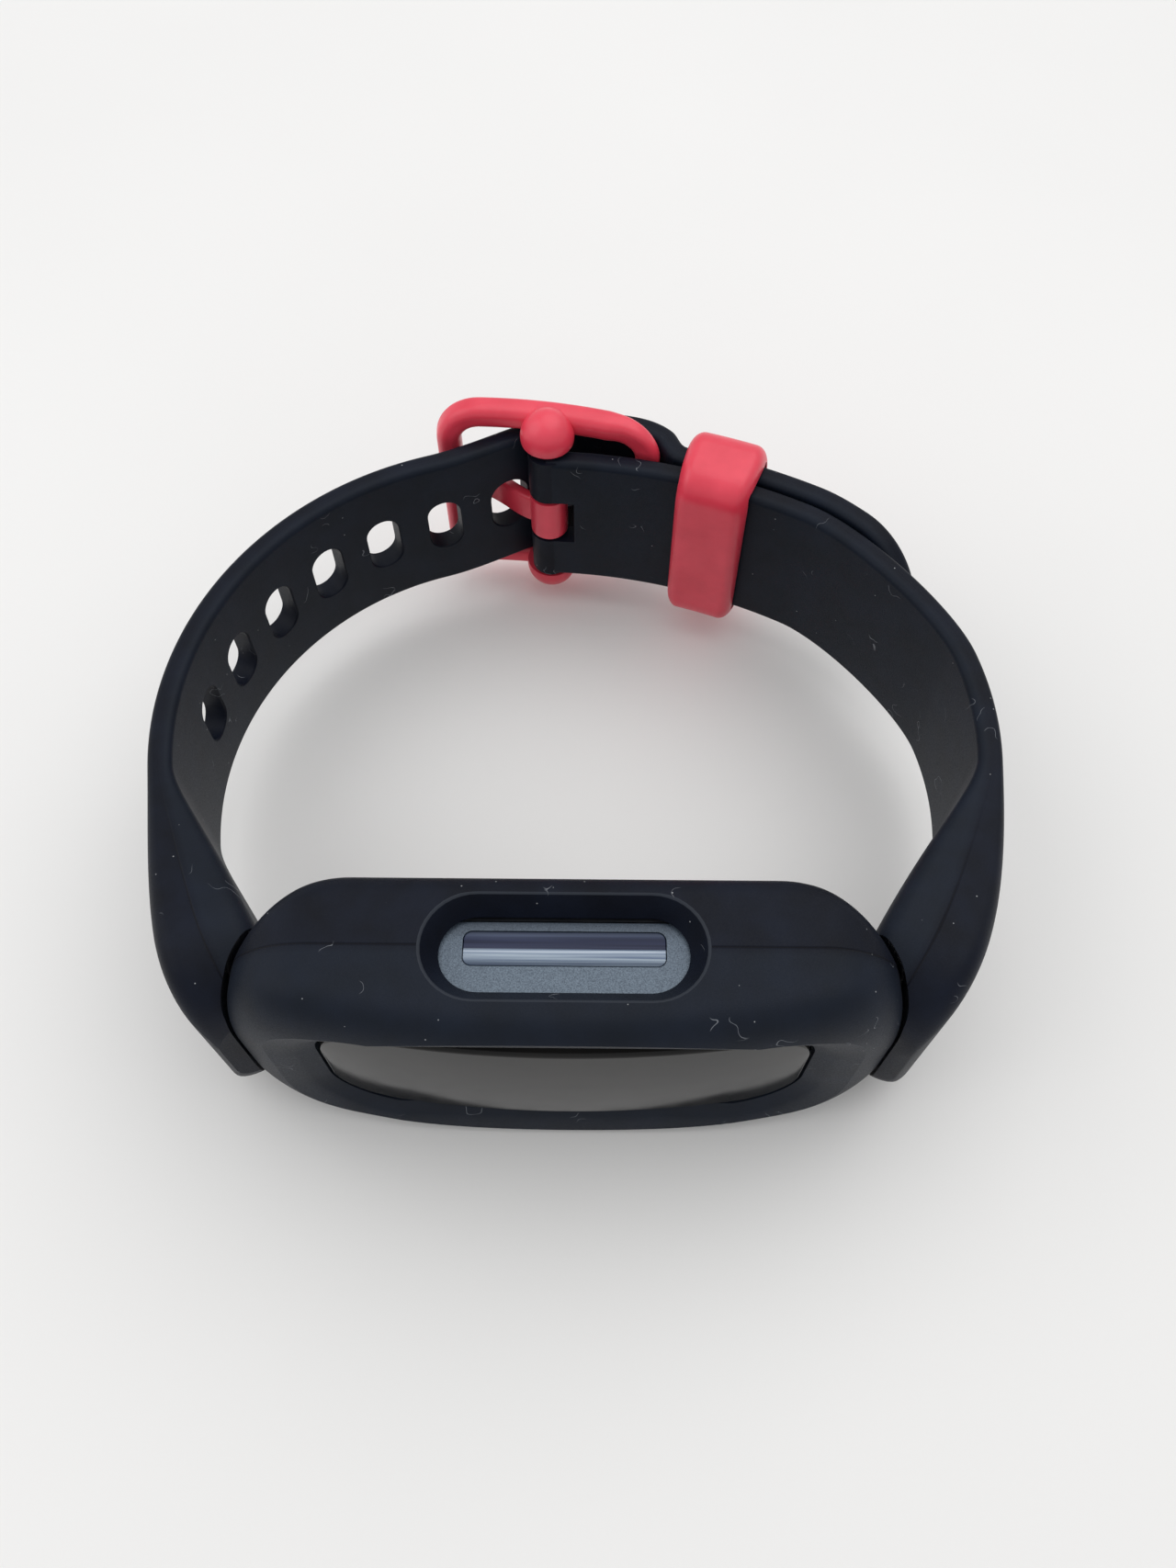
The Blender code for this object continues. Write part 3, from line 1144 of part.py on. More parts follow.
def make_ring():
    """Buckle ring: a bowed rounded frame with a round boss on each rail."""
    chord = np.linalg.norm(np.array(RING_RIGHT) - np.array(RING_LEFT))
    tall = ring_half_opening() + RING_BAR / 2
    loop = rounded_outline(chord / 2, tall, RING_CORNER, RING_CORNER, 4)
    straight = 5
    stops = []
    for k, point in enumerate(loop):
        here, nxt = np.array(point), np.array(loop[(k + 1) % len(loop)])
        gap = np.linalg.norm(nxt - here)
        count = straight if gap > 1.5 * RING_CORNER else 1
        stops += [here + (nxt - here) * j / count for j in range(count)]
    stops = np.array(stops)
    rings = []
    for k, (a, b) in enumerate(stops):
        heading = stops[(k + 1) % len(stops)] - stops[k - 1]
        heading /= np.linalg.norm(heading)
        out = np.array([heading[1], -heading[0]])
        at_rear = min(1.0, max(0.0, a / (chord / 2) - 0.6) / 0.4)
        depth = RING_DEPTH + (RING_REAR_BAR_DEPTH - RING_DEPTH) * at_rear
        ring = []
        for p, q in rounded_outline(RING_BAR / 2, depth / 2, 0.3 * RING_BAR, 0.3 * RING_BAR, 2):
            flat = np.array([a, b]) + p * out
            share = flat[0] / chord + 0.5
            plan = ring_rise(share)
            ahead = ring_rise(share + 0.01) - ring_rise(share - 0.01)
            ahead /= np.linalg.norm(ahead)
            plan = plan + q * np.array([-ahead[1], ahead[0]])
            ring.append((*plan, MIDDLE_Z + flat[1]))
        rings.append(ring)
    x, y = pivot()
    mesh = closed_loop_mesh("buckle_ring", rings)
    ring_object = add_object("buckle_ring", mesh, "red_plastic", origin=(x, y, MIDDLE_Z))
    for name, side in (("upper", 1), ("lower", -1)):
        boss = add_object(f"ring_boss_{name}", boss_mesh(f"ring_boss_{name}", side))
        boolean(ring_object, boss, "UNION")
    bore = PIN_RADIUS + FIT_GAP
    end = pin_half_length() + FIT_GAP
    pin_bore = cylinder("ring_pin_bore", bore, (x, y, MIDDLE_Z - end), (x, y, MIDDLE_Z + end), segments=16)
    boolean(ring_object, pin_bore)
    seat_y = RING_LEFT[1] + RING_DEPTH / 2 - TONGUE_SEAT
    half = TONGUE_WIDTH / 2 + FIT_GAP
    seat = block(
        "tongue_seat_cutter",
        (RING_LEFT[0] - RING_DEPTH, seat_y, MIDDLE_Z - half),
        (RING_LEFT[0] + RING_DEPTH, seat_y + RING_DEPTH, MIDDLE_Z + half),
    )
    boolean(ring_object, seat)


def boss_mesh(name, side):
    """A ball beside the pivot on the upper (1) or lower (-1) rail, cut flat at the rail's inner face."""
    x, y = pivot() + BOSS_OFFSET * turn(PIVOT_ANGLE)
    opening = ring_half_opening()
    centre = Vector((x, y, MIDDLE_Z + side * (opening + BOSS_LIFT)))
    flat = Vector((x, y, MIDDLE_Z + side * opening))

    def build(bm):
        place = Matrix.Translation(centre)
        bmesh.ops.create_uvsphere(bm, u_segments=24, v_segments=14, radius=BOSS_RADIUS, matrix=place)
        everything = bm.verts[:] + bm.edges[:] + bm.faces[:]
        normal = (0.0, 0.0, -side)
        bmesh.ops.bisect_plane(bm, geom=everything, plane_co=flat, plane_no=normal, clear_outer=True)
        bmesh.ops.holes_fill(bm, edges=[edge for edge in bm.edges if edge.is_boundary])

    return mesh_from(name, build)


def closed_loop_mesh(name, rings):
    """A solid swept round a closed loop of rings."""

    def build(bm):
        rows = [[bm.verts.new(Vector(p)) for p in ring] for ring in rings]
        for k, near in enumerate(rows):
            far = rows[(k + 1) % len(rows)]
            for j in range(len(near)):
                nxt = (j + 1) % len(near)
                bm.faces.new((near[j], near[nxt], far[nxt], far[j]))

    return mesh_from(name, build)


def pin_half_length():
    """Half the pin's length, ending inside the bosses."""
    return ring_half_opening() + RING_BAR / 2


def make_pin():
    """Steel pin through the ring, the strap's barrel and the tongue."""
    x, y = pivot()
    half = pin_half_length()
    cylinder(
        "pivot_pin",
        PIN_RADIUS,
        (x, y, MIDDLE_Z - half),
        (x, y, MIDDLE_Z + half),
        "steel",
        segments=16,
        origin=(x, y, MIDDLE_Z),
    )


def make_tongue():
    """Tongue from the pin out through the used hole to its seat on the ring's left bar."""
    start = pivot()
    seat_y = RING_LEFT[1] + RING_DEPTH / 2 - TONGUE_SEAT + FIT_GAP
    tip = np.array([RING_LEFT[0] - TONGUE_OVERHANG, seat_y + TONGUE_THICKNESS / 2])
    line = bezier(start, start + np.array(TONGUE_RISE), tip + np.array([TONGUE_REACH, 0.0]), tip, 14)
    side = normals(line) * TONGUE_THICKNESS / 2
    rings = []
    for k, (point, step) in enumerate(zip(line, side)):
        half = TONGUE_WIDTH / 2 * (1.0 if k < len(line) - 1 else 0.7)
        low, high = MIDDLE_Z - half, MIDDLE_Z + half
        a, b = point + step, point - step
        rings.append([(*a, low), (*a, high), (*b, high), (*b, low)])
    origin = (*start, MIDDLE_Z)
    tongue = add_object("buckle_tongue", loft_mesh("buckle_tongue", rings), "red_plastic", origin=origin)
    half = NOTCH_WIDTH / 2 - FIT_GAP
    low, high = (*start, MIDDLE_Z - half), (*start, MIDDLE_Z + half)
    boolean(tongue, cylinder("tongue_knuckle", KNUCKLE_RADIUS, low, high, segments=20), "UNION")
    low, high = (*start, MIDDLE_Z - NOTCH_WIDTH), (*start, MIDDLE_Z + NOTCH_WIDTH)
    boolean(tongue, cylinder("tongue_pin_bore", PIN_RADIUS + FIT_GAP, low, high, segments=16))


def keeper_rings(inner_radius, outer_radius, tall, half_width, edge, end_round=0.0):
    """Sections of a bent block about the back arc's centre, drawn in at its ends by a rounding."""
    bends = np.linspace(0.0, math.pi / 2, 4)
    ends = [(half_width - end_round * (1 - math.sin(b)), end_round * (1 - math.cos(b))) for b in bends]
    if end_round == 0.0:
        ends = [(half_width, 0.0)]
    middle_stops = [(share * (half_width - end_round), 0.0) for share in np.linspace(-1.0, 1.0, 6)[1:-1]]
    stops = [(-along, inset) for along, inset in ends[::-1]] + middle_stops + ends
    rings = []
    for along, inset in stops:
        angle = KEEPER_ANGLE + math.degrees(along / BACK_ARC_RADIUS)
        middle = polar(BACK_ARC_CENTRE, (inner_radius + outer_radius) / 2, angle)
        half_thick = (outer_radius - inner_radius) / 2 - inset
        section = rounded_outline(half_thick, tall - inset, edge, edge)
        rings.append([(*(middle + a * turn(angle)), MIDDLE_Z + b) for a, b in section])
    return rings


def make_keeper():
    """Loop round both straps, bent to the arc that it slides along."""
    low = BACK_ARC_RADIUS - STRAP_THICKNESS - FIT_GAP
    high = BACK_ARC_RADIUS + STRAP_LIFT + FIT_GAP
    tall = STRAP_WIDTH / 2 + FIT_GAP
    half = KEEPER_WIDTH / 2
    wall = KEEPER_WALL
    corner = min(KEEPER_CORNER_RADIUS, (high - low) / 2 + 0.5 * wall)
    body = keeper_rings(low - wall, high + wall, tall + wall, half, corner, KEEPER_EDGE_RADIUS)
    mesh = loft_mesh("keeper_loop", body)
    keeper = add_object("keeper_loop", mesh, "red_plastic", origin=(*BACK_ARC_CENTRE, MIDDLE_Z))
    opening = keeper_rings(low, high, tall, half + wall, STRAP_EDGE_RADIUS)
    boolean(keeper, add_object("keeper_opening", loft_mesh("keeper_opening", opening)))


# ---------------------------------------------------------------- assembly


def centre_on_base():
    """Move the root so that the middle of the band's lowest face is at the world origin."""
    bpy.context.view_layer.update()
    graph = bpy.context.evaluated_depsgraph_get()
    corners = []
    for obj in parts.objects:
        if obj == root:
            continue
        shape = obj.evaluated_get(graph)
        mesh = shape.to_mesh()
        points = np.empty(3 * len(mesh.vertices), dtype=np.float32)
        mesh.vertices.foreach_get("co", points)
        matrix = np.array(obj.matrix_world)
        world = points.reshape(-1, 3) @ matrix[:3, :3].T + matrix[:3, 3]
        corners += [world.min(axis=0), world.max(axis=0)]
        shape.to_mesh_clear()
    low, high = np.min(corners, axis=0), np.max(corners, axis=0)
    root.location = (-(low[0] + high[0]) / 2, -(low[1] + high[1]) / 2, -low[2])
    bpy.context.view_layer.update()


def report_joints():
    """Print where the joint axes are in the world."""
    print("root shift", [round(v, 6) for v in root.location])
    turning = ("keeper_loop", "buckle_ring", "buckle_tongue", "motor_weight")
    for name in turning + ("side_key_upper", "side_key_lower"):
        print(name, [round(v, 6) for v in bpy.data.objects[name].matrix_world.translation])


clear_scene()
parts = make_collection("fitness_tracker_band")
cutters = make_collection("cutters")
root = bpy.data.objects.new("band_root", None)
parts.objects.link(root)
make_bumper()
make_case()
make_lens()
make_cover_parts()
make_keys()
make_display()
make_board()
make_battery()
make_motor()
make_hole_strap()
make_buckle_strap()
make_ring()
make_pin()
make_tongue()
make_keeper()
centre_on_base()
report_joints()
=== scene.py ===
import json
import math

import bmesh
import bpy
import numpy as np
from mathutils import Matrix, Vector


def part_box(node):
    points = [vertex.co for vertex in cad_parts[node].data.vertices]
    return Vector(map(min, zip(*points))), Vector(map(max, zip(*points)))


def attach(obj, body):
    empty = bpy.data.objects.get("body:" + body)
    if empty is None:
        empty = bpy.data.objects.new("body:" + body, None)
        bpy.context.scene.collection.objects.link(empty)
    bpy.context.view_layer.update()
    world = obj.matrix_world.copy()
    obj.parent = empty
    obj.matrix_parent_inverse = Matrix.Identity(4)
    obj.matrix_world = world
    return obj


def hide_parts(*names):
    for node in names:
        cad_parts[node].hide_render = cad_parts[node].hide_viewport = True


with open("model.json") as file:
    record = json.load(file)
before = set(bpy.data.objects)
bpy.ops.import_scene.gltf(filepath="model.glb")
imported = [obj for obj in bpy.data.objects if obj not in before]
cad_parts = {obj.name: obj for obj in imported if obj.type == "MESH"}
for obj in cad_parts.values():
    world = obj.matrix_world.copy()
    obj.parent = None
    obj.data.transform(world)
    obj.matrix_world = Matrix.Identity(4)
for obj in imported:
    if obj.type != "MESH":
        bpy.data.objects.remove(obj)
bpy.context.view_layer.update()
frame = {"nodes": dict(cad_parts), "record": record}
print("frame loaded:", len(frame["nodes"]), "nodes")

# Lengths below are millimetres from the foot of the bumper's middle,
# +Y towards the buckle and +Z across the strap.
millimetre = 0.001
bumper = {"length": 39.2, "height": 20.4, "depth": 10.5, "wall": 1.4, "frontLip": 1.8, "rearLip": 1.0,
          "front": -0.45, "bowRadius": 68.0, "cornerRadius": 5.4, "noseLength": 4.0, "noseDrop": 0.8,
          "taperLength": 7.2, "taperDrop": 4.2, "taperPower": 2.0, "edgeDepth": 3.0, "edgeFall": 5.0,
          "edgeFullness": 2.5, "rearEdge": 1.5, "rimWidth": 2.2, "rimDepth": 1.2, "rollWidth": 1.3,
          "rollDepth": 0.62, "rimStart": 0.2, "partingY": 5.93, "frontShare": (0.55, 0.7),
          "rearShare": (0.3, 0.4)}
middleZ = bumper["height"] / 2
gap, seatGap = 0.3, 0.1
plainFace, paintedRimFace = 9.0, 30.0  # seam coordinates of faces without a parting line, and of the slots' lips, which get a painted highlight
fullest = 0.98  # a corner's greatest radius, as a share of half the side
bumperLow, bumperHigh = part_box("bumper_frame")
bandOrigin = np.array([(bumperLow[0] + bumperHigh[0]) / 2,
                       bumperHigh[1] - bumper["depth"] * millimetre, bumperLow[2]])


def heading(degrees):
    # the unit vector at an angle
    return np.array([math.cos(math.radians(degrees)), math.sin(math.radians(degrees))])


def arcLine(centre, radius, start, end, step=0.75):
    # centre + radius * (cos a, sin a) for evenly spaced angles
    angles = np.radians(np.linspace(start, end, max(3, int(abs(end - start) / step) + 1)))
    return np.array(centre) + radius * np.column_stack([np.cos(angles), np.sin(angles)])


def bezierLine(p0, p1, p2, p3, count):
    # cubic Bezier: the four points weighted by (1-t)^3, 3(1-t)^2 t, 3(1-t) t^2 and t^3
    t = np.linspace(0.0, 1.0, count)[:, None]
    p0, p1, p2, p3 = (np.asarray(p, dtype=float) for p in (p0, p1, p2, p3))
    return (1 - t) ** 3 * p0 + 3 * (1 - t) ** 2 * t * p1 + 3 * (1 - t) * t**2 * p2 + t**3 * p3


def blendLine(p0, heading0, p1, heading1, count=40, fullness=0.36):
    # a Bezier whose handles follow the two headings
    p0, p1 = np.asarray(p0, dtype=float), np.asarray(p1, dtype=float)
    pull = fullness * np.linalg.norm(p1 - p0)
    return bezierLine(p0, p0 + pull * heading(heading0), p1 - pull * heading(heading1), p1, count)


def joinLines(*lines):
    # end to end, with each shared point kept once
    return np.concatenate([lines[0]] + [line[1:] for line in lines[1:]])


def alongLine(line):
    # distance from the start to each point
    return np.concatenate([[0.0], np.cumsum(np.linalg.norm(np.diff(line, axis=0), axis=1))])


def sampleLine(line, stations):
    # points at the given distances along the line
    along = alongLine(line)
    return np.column_stack([np.interp(stations, along, line[:, k]) for k in range(2)])


def unitOf(vectors):
    # each vector divided by its length
    return vectors / np.linalg.norm(vectors, axis=-1, keepdims=True)


def leftOf(line):
    # unit vectors square to the line, on its left
    ahead = unitOf(np.gradient(line, axis=0))
    return np.column_stack([-ahead[:, 1], ahead[:, 0]])


def roundedOutline(halfA, halfB, radiusA, steps, radiusB=None):
    # a rectangle with rounded corners, one per row: corner centre + radius * (cos, sin) over four quarters
    given = halfA, halfB, radiusA, radiusA if radiusB is None else radiusB
    halfA, halfB, radiusA, radiusB = (np.atleast_1d(np.asarray(v, dtype=float))[:, None] for v in given)
    radiusA, radiusB = np.minimum(radiusA, fullest * halfA), np.minimum(radiusB, fullest * halfB)
    angle = np.concatenate([np.linspace(90 * q, 90 * q + 90, steps + 1) for q in range(4)])
    signA = np.repeat([1.0, -1.0, -1.0, 1.0], steps + 1)
    signB = np.repeat([1.0, 1.0, -1.0, -1.0], steps + 1)
    a = signA * (halfA - radiusA) + radiusA * np.cos(np.radians(angle))
    b = signB * (halfB - radiusB) + radiusB * np.sin(np.radians(angle))
    return np.stack(np.broadcast_arrays(a, b), axis=-1)


def stadiumOutline(length, width, steps=20):
    # two half circles joined by straights, one outline per row
    length, width = (np.atleast_1d(np.asarray(v, dtype=float))[:, None] for v in (length, width))
    angle = np.radians(np.tile(np.linspace(-90, 90, steps + 1), 2))
    side = np.repeat([1.0, -1.0], steps + 1)
    a = side * ((length - width) / 2 + width / 2 * np.cos(angle))
    b = side * width / 2 * np.sin(angle)
    return np.stack(np.broadcast_arrays(a, b), axis=-1)


def loftPiece(name, rings, seam=None, closed=False):
    # rings[i, j] is a point at ring i and step j: neighbours are joined by quads and the ends by fans
    # to their middles; seam is millimetres behind the parting line
    count, around = rings.shape[:2]
    i = np.arange(count if closed else count - 1)[:, None]
    j = np.arange(around)[None, :]
    here, across = i * around + j, i * around + (j + 1) % around
    further, beyond = ((i + 1) % count) * around + j, ((i + 1) % count) * around + (j + 1) % around
    faces = np.stack([here, across, beyond, further], axis=-1).reshape(-1, 4).tolist()
    points = rings.reshape(-1, 3)
    flat = np.full((len(points), 2), plainFace) if seam is None else seam.reshape(-1, 2)
    if not closed:
        step = np.arange(around)
        first, last = count * around, count * around + 1
        faces += np.column_stack([(step + 1) % around, step, np.full(around, first)]).tolist()
        tail = (count - 1) * around
        faces += np.column_stack([tail + step, tail + (step + 1) % around, np.full(around, last)]).tolist()
        points = np.concatenate([points, [rings[0].mean(0)], [rings[-1].mean(0)]])
        flat = np.concatenate([flat, [flat[:around].mean(0)], [flat[-around:].mean(0)]])
    mesh = bpy.data.meshes.new(name)
    mesh.from_pydata(bandOrigin + points * millimetre, [], faces)
    corner = np.empty(len(mesh.loops), dtype=np.int32)
    mesh.loops.foreach_get("vertex_index", corner)
    mesh.uv_layers.new(name="seam").data.foreach_set("uv", flat[corner].ravel())
    faceOutwards(mesh)
    piece = bpy.data.objects.new(name, mesh)
    bpy.context.scene.collection.objects.link(piece)
    return piece


def faceOutwards(mesh):
    # turns each face so that its normal points out of the solid
    work = bmesh.new()
    work.from_mesh(mesh)
    bmesh.ops.recalc_face_normals(work, faces=work.faces)
    work.to_mesh(mesh)
    work.free()


def shapeWith(piece, tools, operation="DIFFERENCE"):
    # cut or join each tool and keep the result as the piece's own mesh
    for tool in tools:
        step = piece.modifiers.new("shape", "BOOLEAN")
        step.solver, step.operation, step.object = "EXACT", operation, tool
    graph = bpy.context.evaluated_depsgraph_get()
    shaped = bpy.data.meshes.new_from_object(piece.evaluated_get(graph), preserve_all_data_layers=True,
                                             depsgraph=graph)
    piece.modifiers.clear()
    rough, piece.data = piece.data, shaped
    bpy.data.meshes.remove(rough)
    shaped.name = piece.name
    for tool in tools:
        bpy.data.objects.remove(tool)
    return piece


def dress(piece, body, slotName, nodes, sharp=38.0):
    # smooth shading except over sharp folds, then material, body and the nodes that it stands for
    mesh = piece.data
    mesh.polygons.foreach_set("use_smooth", np.ones(len(mesh.polygons), dtype=bool))
    mesh.set_sharp_from_angle(angle=math.radians(sharp))
    mesh.materials.clear()
    mesh.materials.append(finishes[slotName])
    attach(piece, body)
    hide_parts(*nodes)
    print("made", piece.name, len(mesh.polygons), "faces")
    return piece


def frontRings(outline, y):
    # outlines in X and Z, each at its own y
    return np.stack([outline[..., 0], np.broadcast_to(y, outline.shape[:2]), middleZ + outline[..., 1]], -1)


def levelRings(outline, z, centre):
    # outlines in X and Y about a centre, each at its own z
    z = np.broadcast_to(z, outline.shape[:2])
    return np.stack([centre[0] + outline[..., 0], centre[1] + outline[..., 1], z], -1)


def raisedRings(plan, height):
    # points in X and Y, each at its own height from the band's middle
    return np.concatenate([plan, middleZ + height], axis=-1)


def prismY(name, outline, low, high):
    # an outline in X and Z carried along Y
    return loftPiece(name, frontRings(np.repeat(outline[:1], 2, axis=0), np.array([[low], [high]])))


def prismZ(name, outline, low, high, centre):
    # an outline in X and Y carried along Z
    return loftPiece(name, levelRings(np.repeat(outline[:1], 2, axis=0), np.array([[low], [high]]), centre))


def boxTool(name, low, high):
    # a block between two opposite corners
    corners = roundedOutline((high[0] - low[0]) / 2, (high[2] - low[2]) / 2, 1e-4, 1)[0]
    x = (low[0] + high[0]) / 2 + corners[:, 0]
    z = (low[2] + high[2]) / 2 + corners[:, 1]
    return loftPiece(name, np.stack([np.column_stack([x, np.full(len(x), y), z]) for y in (low[1], high[1])]))


def barTool(name, radius, start, end, steps=48):
    # a round bar along Y or Z
    start, end = np.array(start, dtype=float), np.array(end, dtype=float)
    angle = np.linspace(0, 2 * math.pi, steps, endpoint=False)
    ring = np.column_stack([np.cos(angle), np.sin(angle)]) * radius
    alongY = abs(end[1] - start[1]) > abs(end[2] - start[2])
    spread = np.zeros((steps, 3))
    spread[:, 0] = ring[:, 0]
    spread[:, 2 if alongY else 1] = ring[:, 1]
    return loftPiece(name, np.stack([start + spread, end + spread]))


# patch and grain are sizes and bump is a depth, all in millimetres, and bands are painted light along Y;
# what a finish leaves out comes from plainFinish
finishValues = {
    # the silicone's last value is the strength of a painted highlight on the slots' lips
    "silicone": {
        "dark": (0.0018, 0.0030, 0.0075), "light": (0.0040, 0.0066, 0.0155), "patch": 2.6, "grain": 0.09,
        "bump": 0.010, "rough": (0.42, 0.56), "index": 1.41, "gloss": 0.20, "sheen": 0.01, "dust": 0.060,
        "lint": 0.005, "seam": 0.10, "seamFade": (9.0, 20.0), "paintedRimHighlight": 0.32},
    "red_plastic": {
        "dark": (0.70, 0.034, 0.066), "light": (0.84, 0.058, 0.100), "patch": 3.5, "grain": 0.16,
        "bump": 0.006, "rough": (0.32, 0.44), "soft": 0.06, "coat": 0.12},
    "dark_glass": {
        "dark": (0.012, 0.012, 0.012), "light": (0.020, 0.019, 0.018), "patch": 7.0, "grain": 1.6,
        "bump": 0.0006, "rough": (0.10, 0.16), "index": 1.27},
    # the case's tones along Y are painted shade, darker towards its rear where the recess shadows it
    "case_plastic": {
        "dark": (0.058, 0.082, 0.114), "light": (0.165, 0.215, 0.270), "patch": 0.075, "grain": 0.07,
        "bump": 0.008, "rough": (0.40, 0.55), "metal": 0.15, "paintedLightBands": ((4.0, (1.0, 1.0, 1.0)),
        (6.9, (0.86, 0.86, 0.88)), (7.6, (0.52, 0.53, 0.56)), (8.4, (0.34, 0.35, 0.38)))},
    # the key's tones along Y are a painted reflection: a bright line with dim stripes before it and dark ones
    # behind it
    "polished_key": {
        "dark": (0.20, 0.25, 0.38), "light": (1.0, 1.0, 1.0), "patch": 0.17, "grain": 0.9, "bump": 0.0008,
        "rough": (0.16, 0.24), "metal": 0.1, "gloss": 0.25, "stretch": (0.012, 1.0, 1.0),
        "paintedLightBands": ((5.37, (0.125, 0.160, 0.200)), (5.60, (0.180, 0.228, 0.282)),
        (5.74, (0.320, 0.385, 0.450)), (6.14, (0.430, 0.505, 0.575)), (6.24, (0.700, 0.770, 0.820)),
        (6.34, (0.350, 0.420, 0.490)), (6.42, (0.026, 0.032, 0.070)), (6.90, (0.020, 0.028, 0.075)),
        (7.16, (0.045, 0.060, 0.110)), (7.43, (0.060, 0.078, 0.120)))},
    "cover_plastic": {
        "dark": (0.014, 0.016, 0.020), "light": (0.026, 0.029, 0.034), "patch": 3.0, "grain": 0.13,
        "bump": 0.008, "rough": (0.36, 0.5)},
    "seal_rubber": {
        "dark": (0.022, 0.022, 0.022), "light": (0.04, 0.04, 0.04), "patch": 1.5,
        "bump": 0.006, "rough": (0.7, 0.85)},
    "gasket_foam": {
        "dark": (0.03, 0.03, 0.03), "light": (0.08, 0.08, 0.08), "patch": 0.3, "grain": 0.12, "bump": 0.03,
        "rough": (0.8, 0.95)},
    "display_glass": {
        "dark": (0.02, 0.024, 0.03), "light": (0.035, 0.04, 0.048), "patch": 4.0, "grain": 0.5,
        "bump": 0.0006, "rough": (0.08, 0.16), "coat": 0.8},
    "flex_film": {
        "dark": (0.36, 0.16, 0.04), "light": (0.52, 0.27, 0.08), "patch": 0.8, "grain": 0.25,
        "bump": 0.006, "rough": (0.25, 0.4), "stretch": (1.0, 0.12, 1.0)},
    "board_green": {
        "dark": (0.012, 0.085, 0.04), "light": (0.03, 0.17, 0.08), "patch": 0.45, "grain": 0.2,
        "bump": 0.012, "rough": (0.32, 0.5), "stretch": (0.25, 1.0, 1.0)},
    "chip_resin": {
        "dark": (0.016, 0.016, 0.018), "light": (0.03, 0.03, 0.033), "patch": 0.5, "grain": 0.07,
        "bump": 0.005, "rough": (0.45, 0.65)},
    "gold_plate": {
        "dark": (0.74, 0.50, 0.18), "light": (0.92, 0.70, 0.32), "grain": 0.12,
        "bump": 0.002, "rough": (0.18, 0.3), "metal": 1.0},
    "steel": {
        "dark": (0.52, 0.53, 0.55), "light": (0.70, 0.71, 0.73), "patch": 0.5, "grain": 0.08,
        "bump": 0.002, "rough": (0.22, 0.36), "metal": 1.0, "stretch": (1.0, 1.0, 0.08)},
    "cell_foil": {
        "dark": (0.46, 0.48, 0.51), "light": (0.62, 0.64, 0.67), "patch": 1.2, "grain": 0.5, "bump": 0.03,
        "rough": (0.26, 0.4), "metal": 0.85},
    "lead_red": {"dark": (0.5, 0.02, 0.02), "light": (0.65, 0.04, 0.04)},
    "lead_black": {"dark": (0.015, 0.015, 0.015), "light": (0.028, 0.028, 0.028)},
    "connector_plastic": {"dark": (0.66, 0.64, 0.59), "light": (0.78, 0.76, 0.71), "patch": 0.8},
    "tungsten": {
        "dark": (0.28, 0.28, 0.29), "light": (0.4, 0.4, 0.41), "patch": 0.3, "grain": 0.06, "bump": 0.008,
        "rough": (0.38, 0.52), "metal": 0.95},
}

# marks on the silicone: hairs, specks, and the parting line with what lies before and behind it;
# the paler tone before the line is painted light, and the slots' lips get a painted highlight
lint = {"size": 1.5, "clump": 2.3, "kept": (0.715, 0.755), "colour": (0.16, 0.17, 0.19)}
dust = {"cell": 0.85, "kept": (0.66, 0.67), "colour": (0.36, 0.37, 0.38)}
parting = {"faded": 0.12, "front": 0.17, "frontFrom": (-0.5, 0.02), "paintedFrontLight": (0.022, 0.033, 0.048),
           "dark": 0.9, "lineFrom": (0.3, 1.0), "lineColour": (0.002, 0.002, 0.004), "groove": -4.5,
           "lipHighlightFrom": (12.0, 28.0), "lipHighlightColour": (0.075, 0.086, 0.104)}
plainFinish = {"patch": 0.6, "grain": 0.1, "bump": 0.003, "rough": (0.4, 0.55), "metal": 0.0, "index": 1.5,
               "gloss": 0.5, "coat": 0.0, "coatRough": 0.05, "sheen": 0.0, "sheenRough": 0.45}
shaderInputs = {"Metallic": "metal", "IOR": "index", "Specular IOR Level": "gloss", "Coat Weight": "coat",
                "Coat Roughness": "coatRough", "Sheen Weight": "sheen", "Sheen Roughness": "sheenRough"}
softDepth = 0.8


def addNode(tree, kind, **settings):
    made = tree.nodes.new(kind)
    for key, value in settings.items():
        setattr(made, key, value)
    return made


def addNoise(tree, size, detail, vector):
    # a noise with features of the given size
    made = addNode(tree, "ShaderNodeTexNoise")
    made.inputs["Scale"].default_value = 1.0 / (size * millimetre)
    made.inputs["Detail"].default_value = detail
    tree.links.new(vector, made.inputs["Vector"])
    return made.outputs["Fac"]


def addSpread(tree, value, low, high, fromLow=0.3, fromHigh=0.7):
    # low at fromLow, high at fromHigh, a straight line between them and level beyond
    made = addNode(tree, "ShaderNodeMapRange")
    for key, number in (("From Min", fromLow), ("From Max", fromHigh), ("To Min", low), ("To Max", high)):
        made.inputs[key].default_value = number
    tree.links.new(value, made.inputs["Value"])
    return made.outputs["Result"]


def feed(tree, socket, value):
    # a number or a colour is set, another node's output is linked
    if isinstance(value, tuple):
        socket.default_value = (*value, 1.0)
    elif isinstance(value, float):
        socket.default_value = value
    else:
        tree.links.new(value, socket)


def addMath(tree, operation, *terms):
    made = addNode(tree, "ShaderNodeMath", operation=operation)
    for socket, term in zip(made.inputs, terms):
        feed(tree, socket, term)
    return made.outputs[0]


def addMix(tree, factor, first, second, blend="MIX"):
    # first where the factor is 0, and second or its blend with first where it is 1
    made = addNode(tree, "ShaderNodeMix", data_type="RGBA", blend_type=blend)
    for key, value in (("Factor", factor), (6, first), (7, second)):
        feed(tree, made.inputs[key], value)
    return made.outputs[2]


def addAxes(tree, vector):
    made = addNode(tree, "ShaderNodeSeparateXYZ")
    tree.links.new(vector, made.inputs[0])
    return made.outputs


